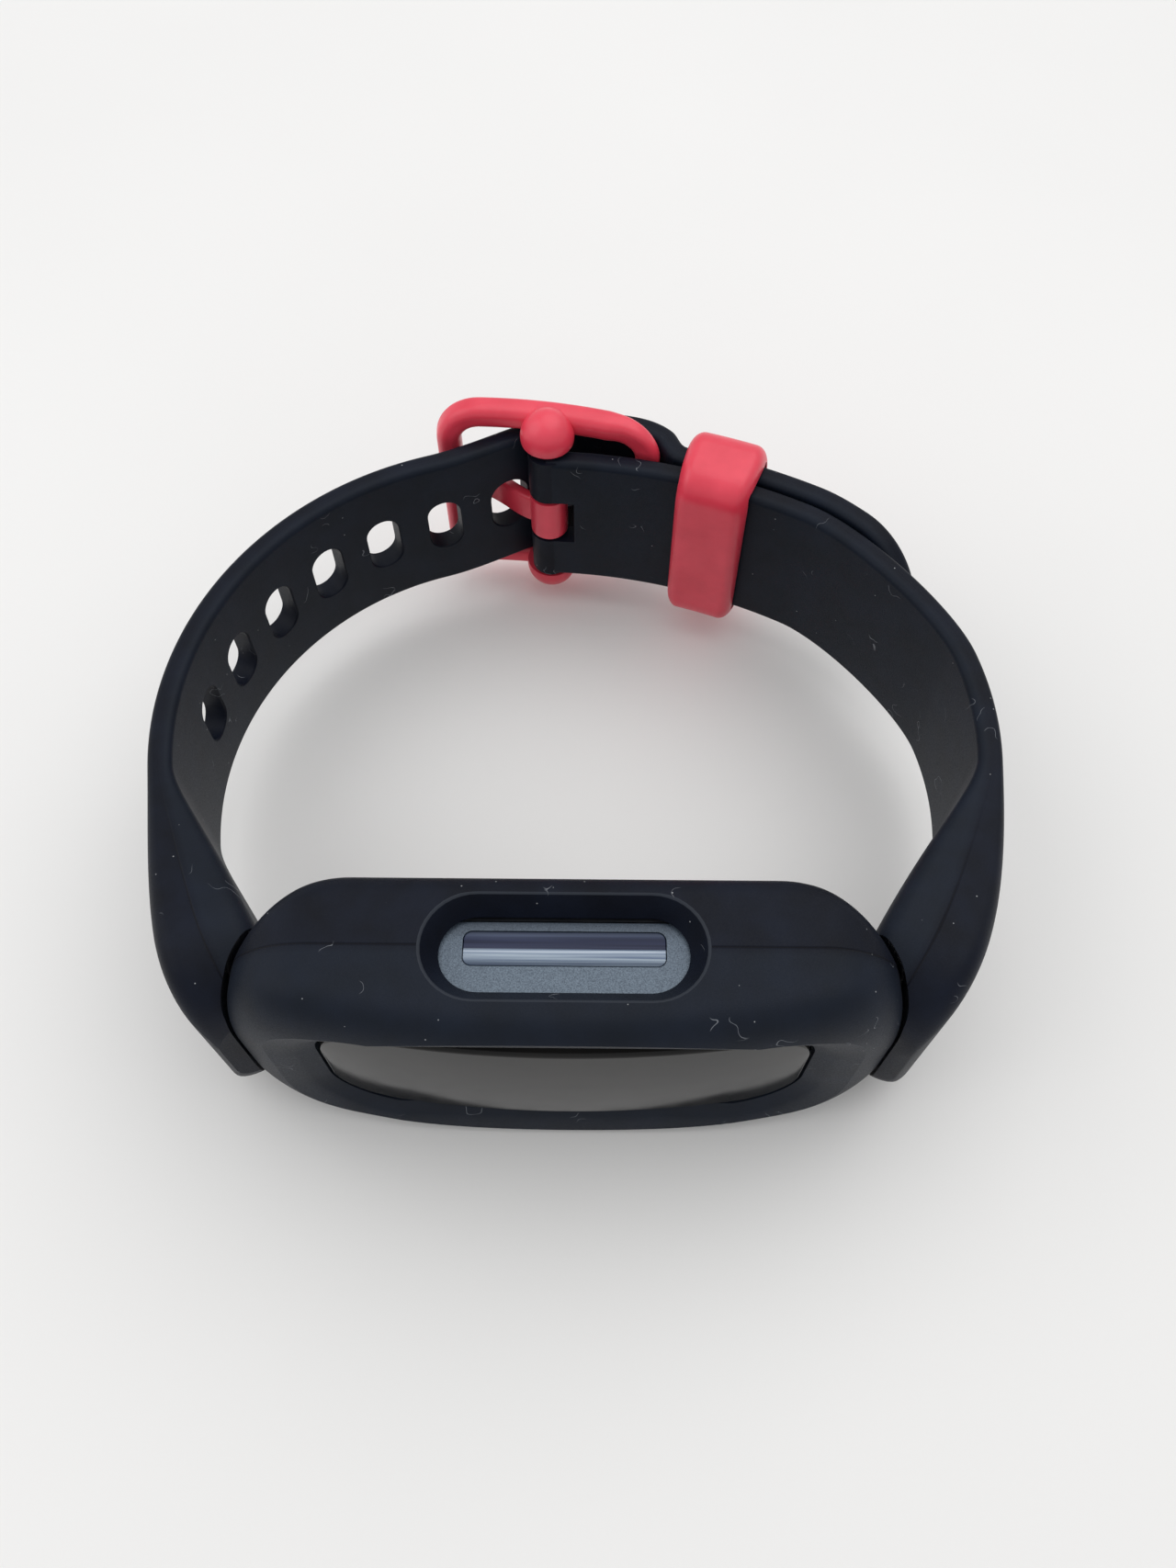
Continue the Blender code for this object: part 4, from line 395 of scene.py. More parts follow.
def addPaintedLightBands(tree, colour, coordinates, paintedLightBands):
    # stripes of painted light across Y, painted shade on the case and a painted reflection on the key,
    # multiplied by the streaks
    first, last = paintedLightBands[0][0], paintedLightBands[-1][0]
    start, end = (bandOrigin[1] + y * millimetre for y in (first, last))
    ramp = addNode(tree, "ShaderNodeValToRGB")
    while len(ramp.color_ramp.elements) < len(paintedLightBands):
        ramp.color_ramp.elements.new(0.5)
    for stop, (y, tone) in zip(ramp.color_ramp.elements, paintedLightBands):
        stop.position, stop.color = (y - first) / (last - first), (*tone, 1.0)
    tree.links.new(addSpread(tree, addAxes(tree, coordinates)["Y"], 0.0, 1.0, start, end), ramp.inputs["Fac"])
    return addMix(tree, 1.0, ramp.outputs["Color"], colour, "MULTIPLY")


def addLint(tree, colour, coordinates, width):
    # short hairs: thin level lines of one noise, kept only where a second noise is high
    level = addMath(tree, "COMPARE", addNoise(tree, lint["size"], 1.0, coordinates), 0.5, width)
    kept = addSpread(tree, addNoise(tree, lint["clump"], 0.0, coordinates), 0.0, 1.0, *lint["kept"])
    return addMix(tree, addMath(tree, "MULTIPLY", level, kept), colour, lint["colour"])


def addDust(tree, colour, coordinates, size):
    # one speck in some cells of a Voronoi pattern, where the cell's own random colour is high
    cells = addNode(tree, "ShaderNodeTexVoronoi")
    cells.inputs["Scale"].default_value = 1.0 / (dust["cell"] * millimetre)
    tree.links.new(coordinates, cells.inputs["Vector"])
    apart = addNode(tree, "ShaderNodeSeparateColor")
    tree.links.new(cells.outputs["Color"], apart.inputs["Color"])
    chosen = addSpread(tree, apart.outputs["Red"], 0.0, 1.0, *dust["kept"])
    near = addSpread(tree, cells.outputs["Distance"], 1.0, 0.0, size * 0.5, size)
    return addMix(tree, addMath(tree, "MULTIPLY", chosen, near), colour, dust["colour"])


def addSeamAndPaintedLight(tree, colour, grain, coordinates, values):
    # a fine groove where the seam coordinate passes zero, fading along Y; in front of the line the colour is
    # made paler as painted light, and the slots' lips get a painted highlight
    behind = addAxes(tree, addNode(tree, "ShaderNodeUVMap", uv_map="seam").outputs["UV"])["X"]
    start, end = (bandOrigin[1] + y * millimetre for y in values["seamFade"])
    fade = addSpread(tree, addAxes(tree, coordinates)["Y"], 1.0, parting["faded"], start, end)
    line = addSpread(tree, addMath(tree, "ABSOLUTE", behind), 1.0, 0.0, 0.0, values["seam"])
    line = addMath(tree, "MULTIPLY", line, fade)
    # painted light: the silicone in front of the parting line is mixed towards a paler colour
    frontHalf = addSpread(tree, behind, parting["front"], 0.0, *parting["frontFrom"])
    colour = addMix(tree, frontHalf, colour, parting["paintedFrontLight"])
    dark = addSpread(tree, line, 0.0, parting["dark"], *parting["lineFrom"])
    colour = addMix(tree, dark, colour, parting["lineColour"])
    # painted highlight on the slots' lips, where the faces' seam coordinate is high
    paintedRimMask = addSpread(tree, behind, 0.0, values["paintedRimHighlight"], *parting["lipHighlightFrom"])
    colour = addMix(tree, paintedRimMask, colour, parting["lipHighlightColour"])
    return colour, addMath(tree, "MULTIPLY_ADD", line, parting["groove"], grain)


def makeFinish(name, given):
    # colour drifts over patches, roughness and relief follow a finer grain, all from object coordinates
    values = plainFinish | given
    material = bpy.data.materials.new(name + "_finish")
    material.use_nodes = True
    tree = material.node_tree
    shader = tree.nodes["Principled BSDF"]
    coordinates = addNode(tree, "ShaderNodeTexCoord").outputs["Object"]
    vector = coordinates
    if "stretch" in values:
        drawn = addNode(tree, "ShaderNodeMapping")
        drawn.inputs["Scale"].default_value = values["stretch"]
        tree.links.new(coordinates, drawn.inputs["Vector"])
        vector = drawn.outputs["Vector"]
    patches = addNoise(tree, values["patch"], 3.0, vector)
    grain = addNoise(tree, values["grain"], 4.0, vector)
    colour = addMix(tree, addSpread(tree, patches, 0.0, 1.0), values["dark"], values["light"])
    height = grain
    for key, addMark in (("paintedLightBands", addPaintedLightBands), ("lint", addLint), ("dust", addDust)):
        if key in values:
            colour = addMark(tree, colour, coordinates, values[key])
    if "seam" in values:
        colour, height = addSeamAndPaintedLight(tree, colour, grain, coordinates, values)
    tree.links.new(colour, shader.inputs["Base Color"])
    tree.links.new(addSpread(tree, grain, *values["rough"]), shader.inputs["Roughness"])
    relief = addNode(tree, "ShaderNodeBump")
    relief.inputs["Strength"].default_value = 1.0
    relief.inputs["Distance"].default_value = values["bump"] * millimetre
    tree.links.new(height, relief.inputs["Height"])
    tree.links.new(relief.outputs["Normal"], shader.inputs["Normal"])
    for socket, key in shaderInputs.items():
        shader.inputs[socket].default_value = values[key]
    if "soft" in values:
        shader.inputs["Subsurface Weight"].default_value = values["soft"]
        shader.inputs["Subsurface Scale"].default_value = softDepth * millimetre
    return material


finishes = {name: makeFinish(name, values) for name, values in finishValues.items()}
print("made", len(finishes), "finishes")


def sectionPlaces(flat, corner, straight, turning):
    # X of the sections, both ways: even over the flat length, then corner * sin of a quarter turn
    turned = flat + corner * np.sin(np.linspace(0, math.pi / 2, turning))
    right = np.concatenate([np.linspace(0, flat, straight)[:-1], turned])
    return np.concatenate([-right[:0:-1], right])


def mirroredRings(x, y, z):
    # sections at x, given from the front's middle to the rear's and mirrored in height
    y, z = np.concatenate([y, y[:, ::-1]], axis=1), np.concatenate([z, -z[:, ::-1]], axis=1)
    return np.stack([np.broadcast_to(x[:, None], y.shape), y, middleZ + z], axis=-1)


def podRings(side, front, rear, along=40, around=12):
    # sections across X: the front edge is a superellipse quarter and the rear edge a circle quarter,
    # both mirrored in height
    half = bumper["length"] / 2 - side
    x = sectionPlaces(half - bumper["cornerRadius"], bumper["cornerRadius"], along, along)
    away = np.abs(x)
    whole = bumper["length"] / 2
    nose = np.clip((away - whole) / bumper["noseLength"] + 1, 0, 1)
    low = bumper["front"] + away**2 / (2 * bumper["bowRadius"]) + front
    low = low + bumper["noseDrop"] * (1 - np.sqrt(1 - nose**2))
    taper = np.clip((away - whole) / bumper["taperLength"] + 1, 0, None)
    high = bumper["depth"] - bumper["taperDrop"] * taper ** bumper["taperPower"] - rear
    corner = np.clip((away * whole / half - whole) / bumper["cornerRadius"] + 1, 0, 1)
    tall = middleZ - bumper["cornerRadius"] * (1 - np.sqrt(1 - corner**2)) - side
    depth = high - low
    frontY = np.minimum(bumper["edgeDepth"] - front / 2, bumper["frontShare"][0] * depth)[:, None]
    frontZ = np.minimum(bumper["edgeFall"], bumper["frontShare"][1] * tall)[:, None]
    rearR = np.minimum(bumper["rearEdge"], bumper["rearShare"][0] * depth)
    rearR = np.minimum(rearR, bumper["rearShare"][1] * tall)[:, None]
    angle = np.linspace(math.pi / 2, 0, 2 * around + 1)[None, :]
    power = 2 / bumper["edgeFullness"]
    frontHalf = (low[:, None] + frontY * (1 - np.sin(angle) ** power),
                 tall[:, None] - frontZ * (1 - np.cos(angle).clip(0) ** power))
    angle = np.linspace(0, math.pi / 2, around + 1)[None, :]
    rearHalf = (high[:, None] - rearR * (1 - np.sin(angle)), tall[:, None] - rearR * (1 - np.cos(angle)))
    return mirroredRings(x, *(np.concatenate(halves, axis=1) for halves in zip(frontHalf, rearHalf)))


def podPiece(name, side, front, rear, **fineness):
    # the bumper's form drawn in by side, front and rear
    rings = podRings(side, front, rear, **fineness)
    return loftPiece(name, rings, np.stack([rings[..., 1] - bumper["partingY"], rings[..., 0]], axis=-1))


lens = {"length": 29.0, "height": 12.1, "corner": 3.7, "recess": 1.3, "back": 2.75, "bowRadius": 76.0,
        "edge": 0.3, "edgeShare": 0.5, "gasket": 0.15, "view": (11.5, 4.8), "viewCorner": 0.7}
slot = {"outer": (16.1, 6.3), "inner": (13.8, 4.1), "y": 5.93, "lip": 0.15, "bend": (20, 74)}
boss = {"length": 24.0, "height": 12.4, "corner": 3.0, "back": 11.0, "edge": 0.35}
caseInset, caseFront = bumper["wall"] + gap, bumper["frontLip"] + gap
caseRear = bumper["depth"] - bumper["rearLip"] - gap
caseHalf = middleZ - caseInset


def windowTool():
    # the window's outline follows the front's bow, widened evenly forwards and by a square near the face
    rim, roll = bumper["rimDepth"], bumper["rollDepth"]
    deep = np.concatenate([[-bumper["rimStart"]], np.linspace(0.0, roll, 16), np.linspace(roll, rim, 6)[1:]])
    rolled = bumper["rollWidth"] * np.clip(1 - deep / roll, 0, None) ** 2
    flare = bumper["rimWidth"] * (rim - deep) / rim + rolled
    y = np.concatenate([[-4 * rim], deep, [bumper["depth"] / 2]])
    grow = np.concatenate([flare[:1], flare, [0.0]])
    follow = np.concatenate([[0.0], np.ones(len(deep)), [0.0]])[:, None]
    size = (lens["length"] / 2 + gap + grow, lens["height"] / 2 + gap + grow)
    outline = roundedOutline(*size, lens["corner"] + gap + grow, 14)
    face = bumper["front"] + outline[..., 0] ** 2 / (2 * bumper["bowRadius"])
    y = y[:, None] + follow * face
    seam = np.stack([y - bumper["partingY"], outline[..., 0]], -1)
    return loftPiece("windowTool", frontRings(outline, y), seam)


def slotTool(name, side):
    # a stadium that flares out from the wall's inner face, with an arc and a slant round its mouth
    lip, straight = slot["lip"], 8
    bend = np.radians(np.linspace(*slot["bend"], 7))
    depth = np.concatenate([[caseInset + gap], np.linspace(caseInset, lip * (1 - np.sin(bend[0])), straight),
                            lip * (1 - np.sin(bend))[1:], [-gap]])
    share = 1 - np.clip(depth, 0, caseInset) / caseInset
    slant = (gap + lip * (1 - np.sin(bend[-1]))) * np.tan(bend[-1])
    extra = lip * (np.cos(bend[0]) - np.cos(bend))
    extra = np.concatenate([np.zeros(straight + 1), extra[1:], [extra[-1] + slant]])
    size = [slot["inner"][k] + (slot["outer"][k] - slot["inner"][k]) * share + 2 * extra for k in (0, 1)]
    outline = stadiumOutline(size[0], size[1])
    rings = levelRings(outline, (middleZ + side * (middleZ - depth))[:, None], (0.0, slot["y"]))
    # the rings of the lip's arc and slant are marked for a painted highlight
    paintedRimHighlight = np.where(np.arange(len(depth)) > straight, paintedRimFace, plainFace)[:, None]
    return loftPiece(name, rings, np.stack([np.broadcast_to(paintedRimHighlight, rings.shape[:2]), rings[..., 2]], -1))


def bossOutline(grow):
    # the raised back's outline, larger all round by grow
    return roundedOutline(boss["length"] / 2 + grow, boss["height"] / 2 + grow, boss["corner"] + grow, 14)


def lensOutline(grow):
    return roundedOutline(lens["length"] / 2 + grow, lens["height"] / 2 + grow, lens["corner"] + grow, 14)


bumperShell = podPiece("bumperShell", 0.0, 0.0, 0.0)
hollow = podPiece("hollowTool", bumper["wall"], bumper["frontLip"], bumper["rearLip"])
rearOpening = prismY("rearTool", bossOutline(gap), bumper["depth"] / 2, bumper["depth"] + gap)
sideSlots = [slotTool("slotToolUpper", 1), slotTool("slotToolLower", -1)]
shapeWith(bumperShell, [hollow, windowTool(), rearOpening] + sideSlots)
dress(bumperShell, "band", "silicone", ["bumper_frame"], 14.0)

keyShape = {"length": 11.5, "width": 2.05, "y": 6.4, "cap": 0.6, "sink": 0.02, "travel": 0.25, "edge": 0.05,
            "corner": 0.5, "clear": 0.045, "stem": (6.0, 1.2), "stemCorner": 0.5, "play": 0.05, "seal": 0.4,
            "underSeal": 0.15}
cavity = {"length": 27.2, "corner": 2.0, "wall": 1.3, "frontWall": 0.9}
cover = {"plate": 1.1, "pocket": (11.1, 5.3), "pocketCorner": 3.0, "pocketReach": 1.4, "wall": 0.9,
         "contact": 1.3, "contactX": 3.0, "contactY": (9.8, 11.4)}
farLow, farHigh = (-90, -40, -60), (90, 40, 80)  # corners well outside the module
seatY = lens["back"] + lens["gasket"] + seatGap
cavityHalf = caseHalf - cavity["wall"]
coverY = caseRear - cover["plate"]
rimY = coverY - seatGap


def keyOutline(grow):
    # the key's outline, larger all round by grow
    half = keyShape["length"] / 2 + grow, keyShape["width"] / 2 + grow
    return roundedOutline(*half, keyShape["corner"] + grow, 10)


def keyTools(side):
    # pocket for the cap and a slot for the stem
    def level(height):
        return middleZ + side * height
    floor = caseHalf - keyShape["sink"] - keyShape["cap"] - keyShape["travel"] - keyShape["play"]
    pocket = keyOutline(keyShape["clear"])
    stem = stadiumOutline(keyShape["stem"][0] + 2 * gap, keyShape["stem"][1] + 2 * gap)
    centre = (0.0, keyShape["y"])
    return [prismZ("pocketTool", pocket, level(floor), level(caseHalf + gap), centre),
            prismZ("stemTool", stem, level(cavityHalf - gap), level(caseHalf + gap), centre)]


moduleCase = podPiece("moduleCase", caseInset, caseFront, bumper["rearLip"] + gap, along=30, around=10)
cavityOutline = roundedOutline(cavity["length"] / 2, cavityHalf, cavity["corner"], 8)
viewOutline = roundedOutline(*lens["view"], lens["viewCorner"], 6)
shapeWith(moduleCase, [
    boxTool("caseTrim", (farLow[0], rimY, farLow[2]), farHigh),
    prismY("cavityTool", cavityOutline, seatY + cavity["frontWall"], bumper["depth"]),
    prismY("rebateTool", lensOutline(gap), 0.0, seatY),
    prismY("viewTool", viewOutline, 0.0, seatY + cavity["frontWall"] + seatGap),
    *keyTools(1), *keyTools(-1)])
dress(moduleCase, "tracker", "case_plastic", ["main_housing"], 30.0)


def bossRings():
    # the raised back: outlines drawn in by a quarter circle near its face, then a flat face
    ease = np.linspace(0, math.pi / 2, 8)
    inset = np.concatenate([[0.0], boss["edge"] * (1 - np.cos(ease))])
    y = np.concatenate([[caseRear - cover["plate"] / 2], boss["back"] - boss["edge"] * (1 - np.sin(ease))])
    return frontRings(bossOutline(-inset), y[:, None])


moduleBack = podPiece("moduleBack", caseInset, caseFront, bumper["rearLip"] + gap, along=30, around=10)
shapeWith(moduleBack, [boxTool("backTrim", farLow, (farHigh[0], coverY, farHigh[2]))])
shapeWith(moduleBack, [loftPiece("bossTool", bossRings())], "UNION")
pocketOutline = roundedOutline(*cover["pocket"], cover["pocketCorner"], 10)
contactLow, contactHigh = cover["contactY"]
shapeWith(moduleBack, [
    prismY("pocketTool", pocketOutline, caseRear - cover["pocketReach"], boss["back"] - cover["wall"]),
    *(barTool("contactTool", cover["contact"], (x, contactLow, middleZ), (x, contactHigh, middleZ))
      for x in (-cover["contactX"], cover["contactX"]))])
dress(moduleBack, "tracker", "cover_plastic", ["rear_cover"], 30.0)

# lens: sections across X with a bowed front, a small rounded edge and a flat back
flatX = lens["length"] / 2 - lens["corner"]
lensX = sectionPlaces(flatX, lens["corner"], 50, 28)
over = np.clip((np.abs(lensX) - flatX) / lens["corner"], 0, 1)
tall = lens["height"] / 2 - lens["corner"] * (1 - np.sqrt(1 - over**2))
front = bumper["front"] + lens["recess"] + lensX**2 / (2 * lens["bowRadius"])
edge = np.minimum(lens["edge"], lens["edgeShare"] * (lens["back"] - front))[:, None]
turn = np.linspace(0, math.pi / 2, 7)[None, :]
back = np.full((len(lensX), 1), lens["back"])
y = np.concatenate([front[:, None] + edge * (1 - np.cos(turn)), back], axis=1)
z = np.concatenate([tall[:, None] - edge * (1 - np.sin(turn)), tall[:, None]], axis=1)
frontGlass = loftPiece("frontGlass", mirroredRings(lensX, y, z))
dress(frontGlass, "tracker", "dark_glass", ["front_lens"], 35.0)


def makeKey(name, side, body, node):
    # outlines stacked from the stem up: stem, cap, then a rounded edge drawn in by a quarter circle
    top = caseHalf - keyShape["sink"]
    low = top - keyShape["cap"]
    switchTop = cavityHalf - keyShape["play"] - keyShape["seal"] - keyShape["underSeal"]
    stemLow = switchTop + keyShape["travel"] + seatGap
    ease = np.linspace(0, math.pi / 2, 6)
    stem = roundedOutline(keyShape["stem"][0] / 2, keyShape["stem"][1] / 2, keyShape["stemCorner"], 10)
    outline = np.concatenate([stem, stem, keyOutline(0.0), keyOutline(keyShape["edge"] * (np.cos(ease) - 1))])
    height = np.concatenate([[stemLow, low, low], top - keyShape["edge"] * (1 - np.sin(ease))])
    piece = loftPiece(name, levelRings(outline, (middleZ + side * height)[:, None], (0.0, keyShape["y"])))
    dress(piece, body, "polished_key", [node], 40.0)


makeKey("upperKey", 1, "key_upper", "side_key_upper")
makeKey("lowerKey", -1, "key_lower", "side_key_lower")
print("module done")


strap = {"width": 12.8, "thick": 1.6, "edge": 0.5, "shoulderWidth": 17.0, "shoulderEdge": 2.2,
         "noseWidth": 7.0, "noseShare": 0.35, "nose": (20.5, 2.2), "nosePull": (2.2, 1.0), "outerPull": 12.6,
         "heel": (16.3, 5.2), "heelPull": (5.9, 10.3), "innerPull": 2.3, "noseCut": 0.98, "edgeShare": 0.45,
         "barrelGap": 0.1}
course = {"leftCentre": (-3.75, 23.6), "leftRadius": 23.4, "leftFrom": 190.0, "leftTo": 108.0,
          "rightCentre": (4.7, 23.0), "rightRadius": 23.1, "rightFrom": -6.0, "rightTo": 14.0,
          "backCentre": (-3.4, 2.9), "backRadius": 43.6, "backFrom": 62.0, "backStep": 0.4,
          "cornerFullness": 0.25, "pivotAngle": 88.2, "pivotDepth": 0.2, "hump": (2.4, 50.3),
          "humpSlope": -8.0, "drop": (7.3, 48.45), "dropSlope": -46.0, "tailArcTo": 74.9,
          "tailPast": 10.0, "tip": 6.0, "tipTurn": 1.53}
holes = {"length": 3.1, "width": 4.9, "pitch": 5.2, "count": 11, "beforeUsed": 6, "usedX": -5.8,
         "climbsAbove": 38, "lip": 0.09, "plain": 2.6, "proud": 0.01, "inReach": 1.6, "outReach": 0.8,
         "chord": 0.8}
strapLift = strap["thick"] + gap


def shoulderLines(side, end, innerEnd, degrees, count=70):
    # Bezier outer and inner edges of a shoulder, from the bumper to the strap, and shares of the way
    ahead = heading(degrees)
    mirror = np.array([side, 1.0])
    nose, heel = mirror * strap["nose"], mirror * strap["heel"]
    outer = bezierLine(nose, nose + mirror * strap["nosePull"], end - strap["outerPull"] * ahead, end, 300)
    bent = innerEnd - strap["innerPull"] * ahead
    inner = bezierLine(heel, heel + mirror * strap["heelPull"], bent, innerEnd, 300)
    share = np.linspace(0, 1, count)
    return *(sampleLine(edge, share * alongLine(edge)[-1]) for edge in (outer, inner)), share


def shoulderHalfWidth(share):
    # eased from the shoulder's width to the strap's, with the nose rounded off
    change = strap["width"] - strap["shoulderWidth"]
    width = strap["shoulderWidth"] + change * share * share * (3 - 2 * share)
    short = np.clip(1 - share / strap["noseShare"], 0, 1)
    lost = (strap["shoulderWidth"] - strap["noseWidth"]) * (1 - np.sqrt(1 - strap["noseCut"] * short**2))
    return (width - lost) / 2


def shoulderEdge(share):
    # the edge's radius, which goes over to the strap's with the square root of the way
    return strap["shoulderEdge"] + (strap["edge"] - strap["shoulderEdge"]) * np.sqrt(share)


def strapPiece(name, side, degrees, line, stations, half):
    # rounded sections from the line to a thickness beside it, along the shoulder and then through the
    # stations with their half widths; the seam coordinate is the distance across from the middle
    heelEnd = (line + side * leftOf(line) * strap["thick"])[0]
    outer, inner, share = shoulderLines(side, line[0], heelEnd, degrees)
    outside = sampleLine(line, stations)
    outer = joinLines(outer, outside)
    inner = joinLines(inner, outside + side * leftOf(outside) * strap["thick"])
    halfWidth = np.concatenate([shoulderHalfWidth(share), half[1:]])
    edge = np.concatenate([shoulderEdge(share), np.full(len(half) - 1, strap["edge"])])
    thick = np.linalg.norm(outer - inner, axis=1)
    middle, across = (outer + inner) / 2, (outer - inner) / thick[:, None]
    section = roundedOutline(thick / 2, halfWidth, np.minimum(edge, strap["edgeShare"] * thick), 8, edge)
    plan = middle[:, None, :] + section[..., :1] * across[:, None, :]
    rings = raisedRings(plan, section[..., 1:])
    along = np.broadcast_to(alongLine(middle)[:, None], section.shape[:2])
    return loftPiece(name, rings, np.stack([section[..., 0], along], axis=-1))


def backLine(lift):
    # the buckle strap's line: an arc beside the wrist, a Bezier corner and the back's arc to the pin
    start, end = course["rightTo"], course["backFrom"]
    side = arcLine(course["rightCentre"], course["rightRadius"] + lift, course["rightFrom"], start)
    radius = course["backRadius"] + lift
    rear = arcLine(course["backCentre"], radius, end, course["pivotAngle"], course["backStep"])
    corner = blendLine(side[-1], start + 90, rear[0], end + 90, 60, course["cornerFullness"])
    return joinLines(side, corner, rear)


def holeStrapLine():
    # the other strap's line: an arc, Beziers up its hump and down over the buckle strap, and the tail's arc
    left = arcLine(course["leftCentre"], course["leftRadius"], course["leftFrom"], course["leftTo"])
    climb = blendLine(left[-1], course["leftTo"] - 90, course["hump"], course["humpSlope"])
    crest = blendLine(course["hump"], course["humpSlope"], course["drop"], course["dropSlope"])
    radius = course["backRadius"] + strapLift
    rear = arcLine(course["backCentre"], radius, course["tailArcTo"], course["backFrom"], course["backStep"])
    drop = blendLine(course["drop"], course["dropSlope"], rear[0], course["tailArcTo"] - 90)
    tail = backLine(strapLift)[::-1]
    past = tail[np.linalg.norm(tail - rear[-1], axis=1).argmin():]
    return joinLines(left, climb, crest, drop, rear, sampleLine(past, np.linspace(0, course["tailPast"], 30)))


def holeTool(name, spot, along, length):
    # a stadium carried square through the strap, widened at both faces by a quarter circle
    thick, lip, proud = strap["thick"], holes["lip"], holes["proud"]
    rise = lip * np.sin(np.linspace(0, math.pi / 2, 4))
    depth = np.concatenate([[-holes["inReach"] * thick, -thick - proud], -thick - proud + rise[1:],
                            -rise[:0:-1] + proud, [proud, holes["outReach"] * thick]])
    grow = np.concatenate([[lip, lip], lip - rise[1:], lip - rise[:0:-1], [lip, lip]])
    outline = stadiumOutline(holes["width"] + 2 * grow, length + 2 * grow, 16)
    across = np.array([-along[1], along[0]])
    plan = spot + depth[:, None, None] * across + outline[..., 1:] * along
    return loftPiece(name, raisedRings(plan, outline[..., :1]))


def trimTool():
    # the bumper's form grown by the gap, which leaves the crease beside it
    return podPiece("strapTrim", -gap, -gap, -gap)


line = holeStrapLine()
tipFrom = alongLine(line)[-1] - course["tip"]
turn = np.linspace(0, course["tipTurn"], 30)[1:]
stations = np.concatenate([np.linspace(0, tipFrom, 240), tipFrom + course["tip"] * np.sin(turn)])
half = strap["width"] / 2 * np.sqrt(1 - np.clip((stations - tipFrom) / course["tip"], 0, 1) ** 2)
holedStrap = strapPiece("holedStrap", -1, course["leftFrom"] - 90, line, stations, half)
# the used hole is found by its X on the stretch that climbs to the hump
climbing = (line[:, 1] > holes["climbsAbove"]) & (np.arange(len(line)) < np.argmax(line[:, 0] > 0))
rising = np.flatnonzero(climbing)
used = np.interp(holes["usedX"], line[rising, 0], alongLine(line)[rising])
spots = used + holes["pitch"] * (np.arange(holes["count"]) - holes["beforeUsed"])
ahead = unitOf(sampleLine(line, spots + holes["chord"]) - sampleLine(line, spots - holes["chord"]))
lengths = np.where(np.arange(holes["count"]) == holes["beforeUsed"], holes["length"], holes["plain"])
tools = [holeTool("holeTool", *place) for place in zip(sampleLine(line, spots), ahead, lengths)]
shapeWith(holedStrap, [trimTool()] + tools)
dress(holedStrap, "band", "silicone", ["hole_strap"], 14.0)

line = backLine(0.0)
stations = np.linspace(0, alongLine(line)[-1], 170)
pinRadius = course["backRadius"] - course["pivotDepth"]
bucklePin = course["backCentre"] + pinRadius * heading(course["pivotAngle"])
hinge = {"pin": 0.6, "knuckle": 1.45, "notch": 4.4, "notchDepth": 3.4, "strapBore": 8, "tongueBore": 5}


def pinBar(name, radius, half):
    # a round bar on the pin's axis, as far to one side of the middle as to the other
    return barTool(name, radius, (*bucklePin, middleZ - half), (*bucklePin, middleZ + half))


def middleBox(name, low, high, half):
    # a block from low to high in plan, as far above the middle as below it
    return boxTool(name, (*low, middleZ - half), (*high, middleZ + half))


half = np.full(len(stations), strap["width"] / 2)
buckleStrap = strapPiece("buckleStrap", 1, course["rightFrom"] + 90, line, stations, half)
shapeWith(buckleStrap, [trimTool()])
barrelHalf = strap["width"] / 2 - strap["barrelGap"]
shapeWith(buckleStrap, [pinBar("barrelTool", hinge["knuckle"], barrelHalf)], "UNION")
deep = 3 * hinge["knuckle"]
notchEnd = bucklePin[0] + hinge["notchDepth"] - hinge["knuckle"]
shapeWith(buckleStrap, [
    middleBox("notchTool", bucklePin - deep, (notchEnd, bucklePin[1] + deep), hinge["notch"] / 2),
    pinBar("boreTool", hinge["pin"] + gap, hinge["strapBore"])])
dress(buckleStrap, "band", "silicone", ["buckle_strap"], 48.0)
print("straps done")


ringShape = {"left": (-9.5, 48.75), "right": (5.4, 46.6), "bow": 0.7, "bar": 1.8, "depth": 2.0,
             "rearDepth": 1.1, "thinFrom": 0.6, "corner": 2.4, "round": 0.40, "play": 0.05, "seat": 0.6,
             "seatReach": 2, "ball": 2.0, "ballLift": 0.4, "ballOffset": 0.7, "poleGap": 0.04, "step": 0.01}
opening = strap["width"] / 2 + gap + ringShape["play"]


def ringLine(share):
    # the straight chord from bar to bar, bowed by 4 s (1 - s)
    start, end = np.array(ringShape["left"]), np.array(ringShape["right"])
    square = np.array([start[1] - end[1], end[0] - start[0]]) / np.linalg.norm(end - start)
    share = np.asarray(share)[..., None]
    return start + (end - start) * share + square * ringShape["bow"] * 4 * share * (1 - share)


chord = float(np.linalg.norm(np.subtract(ringShape["right"], ringShape["left"])))
loop = roundedOutline(chord / 2, opening + ringShape["bar"] / 2, ringShape["corner"], 20)[0]
loop = np.concatenate([loop, loop[:1]])
stops = sampleLine(loop, np.linspace(0, alongLine(loop)[-1], 241)[:-1])
ahead = unitOf(np.roll(stops, -1, axis=0) - np.roll(stops, 1, axis=0))
out = np.column_stack([ahead[:, 1], -ahead[:, 0]])
thinning = np.clip((stops[:, 0] / (chord / 2) - ringShape["thinFrom"]) / (1 - ringShape["thinFrom"]), 0, 1)
depth = ringShape["depth"] + (ringShape["rearDepth"] - ringShape["depth"]) * thinning
softened = ringShape["round"] * np.minimum(ringShape["bar"], depth)
section = roundedOutline(ringShape["bar"] / 2, depth / 2, softened, 8)
flatPlace = stops[:, None, :] + section[..., :1] * out[:, None, :]
share = flatPlace[..., 0] / chord + 0.5
